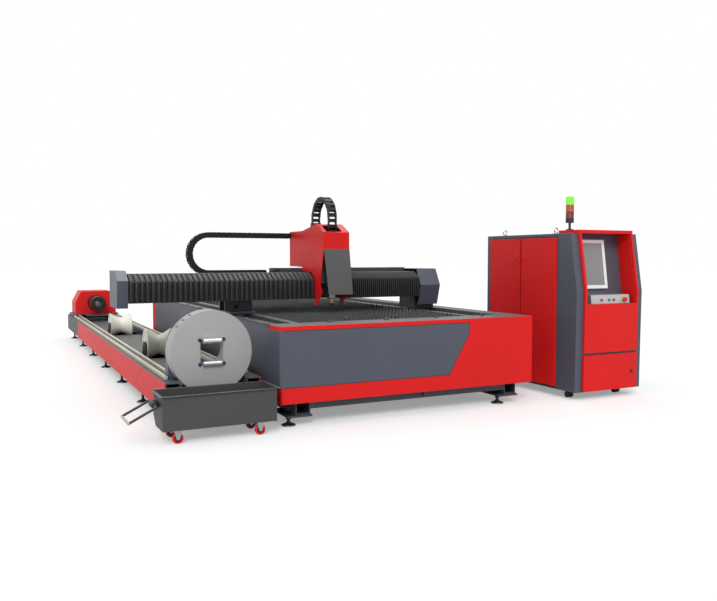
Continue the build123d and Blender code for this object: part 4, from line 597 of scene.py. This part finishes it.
def bellows(name, left, right, folds, node):
    """A cover that stretches from its end on the gantry to its end on the head."""
    columns = folds * len(pleat)
    rows = len(bellows_path) - 1
    deselect()
    bpy.ops.mesh.primitive_grid_add(x_subdivisions=columns, y_subdivisions=rows, size=2.0)
    piece = bpy.context.active_object
    pitch = (right - left) / folds
    # each point keeps how deep it lies in its fold, which the cloth finish turns into painted shade
    shadow = piece.data.attributes.new("fold", "FLOAT", "POINT")
    for corner in piece.data.vertices:
        column = round((corner.co.x + 1.0) / 2.0 * columns)
        row = round((corner.co.y + 1.0) / 2.0 * rows)
        fold, phase = divmod(column, len(pleat))
        along, inset = pleat[phase]
        (y, z), (in_y, in_z) = bellows_path[row]
        shadow.data[corner.index].value = inset
        corner.co = (left + (fold + along) * pitch, y + in_y * inset * pleat_depth,
                     z + in_z * inset * pleat_depth)
    only(piece)
    bpy.ops.object.mode_set(mode="EDIT")
    bpy.ops.mesh.select_all(action="SELECT")
    bpy.ops.mesh.normals_make_consistent(inside=False)
    bpy.ops.object.mode_set(mode="OBJECT")
    if sum(face.normal.z for face in piece.data.polygons) < 0:
        piece.data.flip_normals()
    wall = piece.modifiers.new("wall", "SOLIDIFY")
    wall.thickness = cloth_thickness
    wall.offset = -1.0
    bpy.ops.object.modifier_apply(modifier=wall.name)
    settle(piece, name, "bellows_skin", None, [node], 30.0)
    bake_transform(piece)


bellows("pleated_cover_left", -0.9615, 0.6735, 37, "bellows_left")
bellows("pleated_cover_right", 0.9305, 1.7825, 40, "bellows_right")

# %% [markdown]
# ## Cable chains
# The cables to the head lie in two chains of plastic links. A link is two side plates joined by
# a bar above and a bar below, with an open window between one bar and the next. One link is made
# and then set along a straight, an arc and a straight again. Every second link is a little
# narrower, as the real links reach into each other.

# %% One link
link_width, link_wall, bar_thickness, bar_inset = 0.078, 0.007, 0.006, 0.001


def chain_link(pitch, height, bar_share):
    """Two side plates that reach into their neighbours, with a bar above and a bar below."""
    half = height / 2
    side = [(-0.62, 0.0), (-0.56, -0.6), (-0.40, -1.0), (0.40, -1.0), (0.56, -0.6),
            (0.62, 0.0), (0.56, 0.6), (0.40, 1.0), (-0.40, 1.0), (-0.56, 0.6)]
    outline = [(a * pitch, b * half) for a, b in side]
    outer = link_width / 2
    inner = outer - link_wall
    near = plate(outline, -outer, -inner)
    far = plate(outline, inner, outer)
    reach = bar_share * pitch / 2
    top = half - bar_inset
    under = top - bar_thickness
    upper = plate([(-reach, under), (reach, under), (reach, top), (-reach, top)], -inner, inner)
    lower = plate([(-reach, -top), (reach, -top), (reach, -under), (-reach, -under)], -inner, inner)
    return joined([near, far, upper, lower])


def chain_points(straight_in, radius, straight_out, pitch):
    """Hinge points in the chain's own plane: in along a straight, round, and back."""
    arc = math.pi * radius
    total = straight_in + arc + straight_out
    count = round(total / pitch)
    found = []
    for index in range(count + 1):
        s = index * total / count
        if s <= straight_in:
            found.append((straight_in - s, radius))
        elif s < straight_in + arc:
            turn = (s - straight_in) / radius
            found.append((-radius * math.sin(turn), radius * math.cos(turn)))
        else:
            found.append((s - straight_in - arc, -radius))
    return found


def link_places(points, center, along, up):
    """A matrix for each link: its own X runs from one hinge to the next."""
    along, up = Vector(along), Vector(up)
    across = up.cross(along)
    inner_share = 0.955
    places = []
    for index, ((a0, b0), (a1, b1)) in enumerate(zip(points, points[1:])):
        run = ((a1 - a0) * along + (b1 - b0) * up).normalized()
        middle = Vector(center) + (a0 + a1) / 2 * along + (b0 + b1) / 2 * up
        narrow = 1.0 if index % 2 == 0 else inner_share
        columns = Matrix((run, across * narrow, run.cross(across))).transposed().to_4x4()
        places.append(Matrix.Translation(middle) @ columns)
    return places


# %% The chain along the gantry
x_pitch, x_link_height, x_bar_share = 0.0489, 0.050, 0.56
x_upper_run, x_bend, x_lower_run = 0.806, 0.175, 0.552
x_center = (-0.152, 1.640, 1.280)
x_link = chain_link(x_pitch, x_link_height, x_bar_share)
x_points = chain_points(x_upper_run, x_bend, x_lower_run, x_pitch)
x_chain = spread(x_link, link_places(x_points, x_center, (1, 0, 0), (0, 0, 1)))
settle(x_chain, "gantry_chain_links", "chain_plastic", None, ["x_cable_chain"])
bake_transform(x_chain)

# %% The chain over the head
z_pitch, z_link_height, z_bar_share = 0.0502, 0.0365, 0.58
z_back_run, z_bend, z_front_run = 0.295, 0.185, 0.027
z_center = (0.778, 1.102, 1.595)
z_link = chain_link(z_pitch, z_link_height, z_bar_share)
z_points = chain_points(z_back_run, z_bend, z_front_run, z_pitch)
z_chain = spread(z_link, link_places(z_points, z_center, (0, 0, -1), (0, -1, 0)))
settle(z_chain, "head_chain_links", "chain_plastic", None, ["z_cable_chain"])
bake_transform(z_chain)

# %% [markdown]
# ## Levelling feet
# The beds stand on screw feet: a domed plastic pad with a bright rim, a slim threaded stem and a
# nut. All of it is turned work, and the nut is a ring of six sides.

# %% Feet
thread_root, thread_crest, thread_pitch, thread_start = 0.0105, 0.0118, 0.005, 0.0312
bed_stem_top, tube_stem_top = 0.066, 0.145


def foot(top):
    """A pad, a threaded stem up to a height and the nut that locks it."""
    pad = turned([(0.0520, 0.0), (0.0530, 0.002), (0.0530, 0.009), (0.0500, 0.0115),
                  (0.0400, 0.0150), (0.0260, 0.0195), (0.0180, 0.0225), (0.0180, 0.0290),
                  (0.0150, 0.0310)], 32)
    thread = [(thread_root, thread_start)]
    height = thread_start
    while height + thread_pitch < top:
        thread += [(thread_crest, height + thread_pitch * 0.5),
                   (thread_root, height + thread_pitch)]
        height += thread_pitch
    stem = turned(thread + [(thread_root, top)], 16)
    nut = turned([(0.0180, top - 0.020), (0.0198, top - 0.0185), (0.0198, top - 0.0080),
                  (0.0180, top - 0.0065)], 6)
    return joined([pad, stem, nut])


bed_feet = [(x, y, 0.0) for x in (0.0, 1.912) for y in (0.0, 2.100, 4.200)]
tube_feet = [(x, 0.265 + 1.130 * k, 0.0) for x in (-0.802, -0.252) for k in range(7)]
feet = joined([spread(foot(bed_stem_top), moves(bed_feet)),
               spread(foot(tube_stem_top), moves(tube_feet))])
settle(feet, "screw_feet", "foot_black", "machine_base", ["levelling_feet"])
rim = turned([(0.0534, 0.0030), (0.0540, 0.0036), (0.0540, 0.0078), (0.0534, 0.0084)], 32)
rims = spread(rim, moves(bed_feet + tube_feet))
settle(rims, "foot_rims", "rail_steel", "machine_base")

# %% [markdown]
# ## Ball transfers and dome bolts
# A heavy sheet is slid onto the bed over steel balls that turn in cups. The cups are turned, and
# only the top of each ball shows. The same helper makes the dome bolts on the left flange.

# %% Balls
front_balls = [(x, 0.097, 0.0) for x in (0.383, 0.883, 1.353, 1.813)]
rear_balls = [(x, 0.348, 0.0) for x in (0.643, 1.113, 1.613)]
cup = turned([(0.0190, 0.7490), (0.0190, 0.7520), (0.0180, 0.7560), (0.0160, 0.7588),
              (0.0145, 0.7590)], 28)
post = turned([(0.0120, 0.590), (0.0120, 0.7492)], 20)
cups = joined([spread(cup, moves(front_balls + rear_balls)), spread(post, moves(rear_balls))])
settle(cups, "ball_cups", "black_steel", "machine_base", ["transfer_balls"])
ball_radius, ball_middle = 0.014, 0.7535
crown = [(ball_radius * math.cos(a), ball_middle + ball_radius * math.sin(a))
         for a in map(math.radians, (0, 15, 30, 45, 60, 75, 86))]
balls = spread(turned(crown, 24), moves(front_balls + rear_balls))
settle(balls, "ball_tops", "chuck_dark", "machine_base", angle=60.0)

# %% Dome bolts
flange_x = -0.1010
dome = turned([(0.0160, 0.7495), (0.0158, 0.7520), (0.0140, 0.7560), (0.0105, 0.7595),
               (0.0055, 0.7615), (0.0010, 0.7620)], 20)
dome_rows = [0.170, 0.672, 1.165, 1.655, 2.142, 2.640, 3.140, 3.640, 4.140]
domes = spread(dome, moves([(flange_x, y, 0.0) for y in dome_rows]))
settle(domes, "flange_domes", "slate_paint", "machine_base", angle=60.0)

# %% [markdown]
# ## Seams of the front panel
# The slate panel on the front sits in a cut-out of the red sheet, and a thin dark gap runs round
# it. A narrow black strip along that edge is painted shadow, the shade in the gap.

# %% Front seams, a painted shadow strip
seam_front, seam_back = -0.1146, -0.1100
seam_path = [(-0.080, 0.7180), (1.5440, 0.7180), (1.5440, 0.6320), (1.3490, 0.2980),
             (-0.080, 0.2980)]
seam_inside = [(-0.080, 0.7140), (1.5400, 0.7140), (1.5400, 0.6335), (1.3460, 0.3020),
               (-0.080, 0.3020)]
# painted shadow: thin black strips on the surface along the panel's edge
seam_shadow_strips = [plate([seam_path[k], seam_path[k + 1], seam_inside[k + 1], seam_inside[k]],
                seam_front, seam_back)
          for k in range(4)]
settle(joined(seam_shadow_strips), "front_seam_shadow", "castor_black", "machine_base")

# %% [markdown]
# ## Support rollers
# Long tubes lie in two waisted nylon rollers. A roller is turned from one block: its radius grows
# from the waist to the ends along a curve, and the flat ends are dished around the bore.

# %% Waisted rollers
roller_end = [(0.1490, 0.1195), (0.1440, 0.1225), (0.128, 0.1225), (0.118, 0.1140), (0.020, 0.1140)]
waist_radius, waist_growth, waist_power, half_roller = 0.092, 0.058, 1.4, 0.1225
waist_rings = 10
roller_x, roller_z = -0.5275, 0.415
roller_profile = [(radius, -along) for radius, along in reversed(roller_end)]
for k in range(-waist_rings, waist_rings + 1):
    share = k / (waist_rings + 0.5)
    radius = waist_radius + waist_growth * abs(share) ** waist_power
    roller_profile.append((radius, share * half_roller))
roller_profile += roller_end
for place, y in (("front", 2.087), ("rear", 4.377)):
    roller = turned(roller_profile, 72, (roller_x, y, roller_z), "X")
    settle(roller, f"waisted_roller_{place}", "ivory_nylon", f"{place}_support_roller",
           [f"support_roller_{place}"])

# %% [markdown]
# ## Drum chuck
# The tube passes through a square opening in the drum. Its corners carry four black screws, and
# two jaws with bright rollers reach in from above and below.

# %% Corner screws of the drum
drum_x, drum_z, screw_reach = -0.527, 0.563, 0.0885
screw = turned([(0.0125, 0.1615), (0.0135, 0.1625), (0.0135, 0.1675)], 20, (0, 0, 0), "Y")
corners = [(drum_x + a * screw_reach, 0.0, drum_z + b * screw_reach)
           for a in (-1, 1) for b in (-1, 1)]
screws = spread(screw, moves(corners))
settle(screws, "drum_corner_screws", "castor_black", "front_chuck")

# %% Jaw rollers of the drum
jaw_y, jaw_reach = 0.149, 0.082
capsule_half = [(0.0174, 0.0600), (0.0166, 0.0650), (0.0140, 0.0685), (0.0090, 0.0700)]
for side, z in (("upper", drum_z + jaw_reach), ("lower", drum_z - jaw_reach)):
    nodes[f"front_chuck_jaw_{side}"].material_slots[0].material = finishes["chuck_grey"]
    capsule = turned(both_ways(capsule_half), 32, (drum_x, jaw_y, z), "X")
    settle(capsule, f"jaw_roller_{side}", "roller_steel", f"{side}_jaw")

# %% [markdown]
# ## Scrap trolley
# A folded bin, its rim edge given a light finish as painted highlight, runs on four castors with
# red tyres. The tyre and its dark hub are turned, and the handle is a flat loop of round rods with
# a bright grip.

# %% Wheels
tyre_half = [(0.0375, 0.0060), (0.0362, 0.0115), (0.0330, 0.0138), (0.0290, 0.0138),
             (0.0270, 0.0120), (0.0200, 0.0120)]
hub_half = [(0.0262, 0.0118), (0.0255, 0.0126), (0.0130, 0.0128), (0.0110, 0.0138),
            (0.0060, 0.0138)]
wheel_z = 0.0375
wheel_columns = (("left", -0.859), ("right", -0.280))
wheel_rows = (("front", -0.172), ("rear", 0.035))
for side, x in wheel_columns:
    for row, y in wheel_rows:
        place = f"{row}_{side}"
        tyre = turned(both_ways(tyre_half), 40, (x, y, wheel_z), "Y")
        settle(tyre, f"tyre_{place}", "tyre_red", f"trolley_{place}", [f"trolley_wheel_{place}"])
        hub = turned(both_ways(hub_half), 28, (x, y, wheel_z), "Y")
        settle(hub, f"hub_{place}", "castor_black", f"trolley_{place}")

# %% Axle bolts, rim and handle
bolt_setback = 0.0246
bolt_profile = [(0.0085, 0.0), (0.0095, 0.0010), (0.0095, 0.0050), (0.0070, 0.0062)]
bolt_heads = [turned(bolt_profile, 6, (x, y - bolt_setback, wheel_z), "Y")
              for side, x in wheel_columns for row, y in wheel_rows]
settle(joined(bolt_heads), "axle_bolts", "rail_steel", "trolley")
rim_left, rim_right, rim_front, rim_back = -0.987, -0.147, -0.233, 0.107
rim_low, rim_high, rim_thick, rim_edge = 0.3275, 0.3322, 0.003, 0.0008
# painted highlight: the rim edge gets a light finish where the light catches the rim
edges = [bar((x0, y0, rim_low), (x1, y1, rim_high), rim_edge) for x0, y0, x1, y1 in (
    (rim_left, rim_front, rim_right, rim_front + rim_thick),
    (rim_left, rim_back - rim_thick, rim_right, rim_back),
    (rim_left, rim_front, rim_left + rim_thick, rim_back),
    (rim_right - rim_thick, rim_front, rim_right, rim_back))]
settle(joined(edges), "bin_rim_highlight", "silver_panel", "trolley")
pivot_x, pivot_z, grip_x, grip_z = -1.000, 0.262, -1.182, 0.170
near_y, far_y, rod_radius, grip_radius = -0.193, 0.067, 0.009, 0.0085
rods = [rod((pivot_x, near_y, pivot_z), (pivot_x, far_y, pivot_z), rod_radius),
        rod((pivot_x, near_y, pivot_z), (grip_x, near_y, grip_z), rod_radius),
        rod((pivot_x, far_y, pivot_z), (grip_x, far_y, grip_z), rod_radius)]
settle(joined(rods), "handle_rods", "black_steel", "trolley_handle_loop", ["trolley_handle"])
grip = rod((grip_x, near_y - rod_radius, grip_z), (grip_x, far_y + rod_radius, grip_z),
           grip_radius, 24)
settle(grip, "handle_grip", "rail_steel", "trolley_handle_loop")
block_cover = bar((-1.0175, -0.1145, 0.2445), (-0.9670, -0.0115, 0.2795), 0.003)
settle(block_cover, "handle_block", "castor_black", "trolley")

# %% [markdown]
# ## Cable duct end and rivets of the head cover
# The duct behind the bellows ends in a black moulded cap. The red hood of the head is riveted to
# its frame: six small dark heads in two slanted rows on its left side.

# %% Duct end and rivets
cap = bar((0.379, 1.374, 1.0885), (0.446, 1.468, 1.1512), 0.003)
settle(cap, "duct_end_cap", "castor_black", "gantry")
rivet = turned([(0.0050, -0.0016), (0.0058, -0.0010), (0.0058, 0.0010)], 16, (0.0, 0.0, 0.0), "X")
hood_side_x = 0.6745
rivet_places = [(hood_side_x, y, z) for y, z in (
    (1.350, 1.448), (1.252, 1.473), (1.157, 1.498),
    (1.352, 1.261), (1.230, 1.284), (1.136, 1.307))]
settle(spread(rivet, moves(rivet_places)), "hood_rivets", "castor_black", "laser_head")

# %% [markdown]
# ## Signal tower and cabinet fittings
# The tower carries three ribbed lenses: dark red, amber and green from the bottom. The doors have
# small black round locks and dark seals, the recess round the screen is lined with red sheet, the
# stop button sits on a yellow disc and the roof has four lifting eyes.

# %% Lenses
tower_place = (2.683, -0.009, 0.0)
lens_radius, groove_radius, lens_end_radius = 0.0358, 0.0350, 0.0345
half_groove, lens_lip = 0.0016, 0.002


def lens(low, high, domed):
    """A lens with fine grooves round it, flat on top or domed."""
    profile = [(lens_end_radius, low), (lens_radius, low + lens_lip)]
    steps = 9
    for k in range(1, steps):
        z = low + lens_lip + (high - low - 2 * lens_lip) * k / steps
        profile += [(lens_radius, z - half_groove), (groove_radius, z),
                    (lens_radius, z + half_groove)]
    if domed:
        profile += [(lens_radius, high - 0.006), (0.0340, high - 0.002), (0.0290, high - 0.0002),
                    (0.0040, high)]
    else:
        profile += [(lens_radius, high - 0.004), (lens_end_radius, high)]
    return turned(profile, 40, tower_place)


finishes["lens_red"] = glazed("lens_red", "#700808", 0.2, 0.08)
finishes["lens_amber"] = glazed("lens_amber", "#B04A14", 0.2, 0.10)
settle(lens(1.5920, 1.6545, False), "signal_lens_red", "lens_red", "machine_base",
       ["tower_light_lenses"])
settle(lens(1.6550, 1.7165, False), "signal_lens_amber", "lens_amber", "machine_base")
settle(lens(1.7170, 1.7890, True), "signal_lens_green", "lamp_green", "machine_base")

# %% Locks, seals and the lining of the recess
side_lock_x, side_lock_z = 2.5390, 1.2280
for place, y in (("front", 0.442), ("rear", 0.554)):
    lock = turned([(0.0085, -0.0030), (0.0105, -0.0022), (0.0112, -0.0012), (0.0112, 0.0010)], 24,
                  (side_lock_x, y, side_lock_z), "X")
    settle(lock, f"door_lock_{place}", "castor_black", f"{place}_side_door")
lower_lock_place = (3.204, 0.0, 0.227)
lock = turned([(0.0125, -0.2689), (0.0146, -0.2680), (0.0146, -0.2612)], 28, lower_lock_place, "Y")
settle(lock, "door_lock_lower", "castor_black", "lower_door")
seal_out, seal_in, seal_edge = 2.5592, 2.5634, 0.001
seals = [bar((seal_out, y0, z0), (seal_in, y1, z1), seal_edge) for y0, z0, y1, z1 in (
    (0.4895, 0.0960, 0.5065, 1.4240), (0.0110, 1.4265, 0.9700, 1.4385),
    (0.0110, 0.0815, 0.9700, 0.0935))]
settle(joined(seals), "side_door_seals", "castor_black", "machine_base")
recess_side = [(-0.2415, 0.841), (-0.2430, 0.951), (-0.1575, 1.4585), (-0.0075, 1.4585),
               (-0.0975, 0.841)]
lining_left, lining_right = 3.2484, 3.2499
lining = plate(recess_side, lining_left, lining_right, "X")
settle(lining, "recess_lining", "red_paint", "machine_base")

# %% Stop disc and lifting eyes
finishes["stop_yellow"] = moulded("stop_yellow", "#E8B418", 0.4)
stop_place = (3.140, 0.0, 0.872)
disc = turned([(0.0290, -0.2225), (0.0300, -0.2215), (0.0300, -0.2160)], 36, stop_place, "Y")
settle(disc, "stop_disc", "stop_yellow", "machine_base")
eye_z, eye_radius, eye_wire = 1.4930, 0.0205, 0.0055
collar_profile = [(0.0190, 1.4600), (0.0200, 1.4612), (0.0190, 1.4690), (0.0080, 1.4735)]
eyes = []
for x, y in ((2.633, 0.110), (2.633, 0.850), (3.263, 0.300), (3.263, 0.850)):
    deselect()
    bpy.ops.mesh.primitive_torus_add(
        location=(x, y, eye_z), rotation=(math.radians(90), 0, 0), major_segments=32,
        minor_segments=14, major_radius=eye_radius, minor_radius=eye_wire)
    ring = apply_place(bpy.context.active_object)
    collar = turned(collar_profile, 28, (x, y, 0.0))
    eyes += [ring, collar]
settle(joined(eyes), "roof_eyes", "eye_steel", "machine_base", ["lifting_eyes"], 60.0)

# %% [markdown]
# ## Cutting head
# Below the grey panel the focusing head ends in a stack of rings: three of bright steel, two of
# brass and a small brass nozzle. Each ring is turned at its place on the head's axis.

# %% Rings of the cutting head
axis_place = (0.803, 0.988, 0.0)
brass = joined([
    turned([(0.0400, 0.9030), (0.0415, 0.9040), (0.0415, 0.9100), (0.0400, 0.9110)],
           40, axis_place),
    turned([(0.0310, 0.8800), (0.0320, 0.8808), (0.0320, 0.8850), (0.0310, 0.8858)],
           40, axis_place)])
settle(brass, "head_brass_rings", "nozzle_brass", "cutting_tool")
tip = turned([(0.0040, 0.8100), (0.0060, 0.8110), (0.0140, 0.8260), (0.0150, 0.8320),
              (0.0225, 0.8330), (0.0230, 0.8350), (0.0230, 0.8400), (0.0215, 0.8410),
              (0.0215, 0.8440), (0.0230, 0.8450), (0.0230, 0.8505), (0.0220, 0.8520)],
             40, axis_place)
settle(tip, "nozzle_tip", "nozzle_brass", "cutting_tool", ["cutting_nozzle"])
collars = joined([
    turned([(0.0460, z), (0.0472, z + 0.0012), (0.0472, z + 0.0060), (0.0460, z + 0.0072)],
           40, axis_place)
    for z in (0.9620, 0.9780, 0.9940)])
settle(collars, "head_steel_rings", "rail_steel", "cutting_tool")
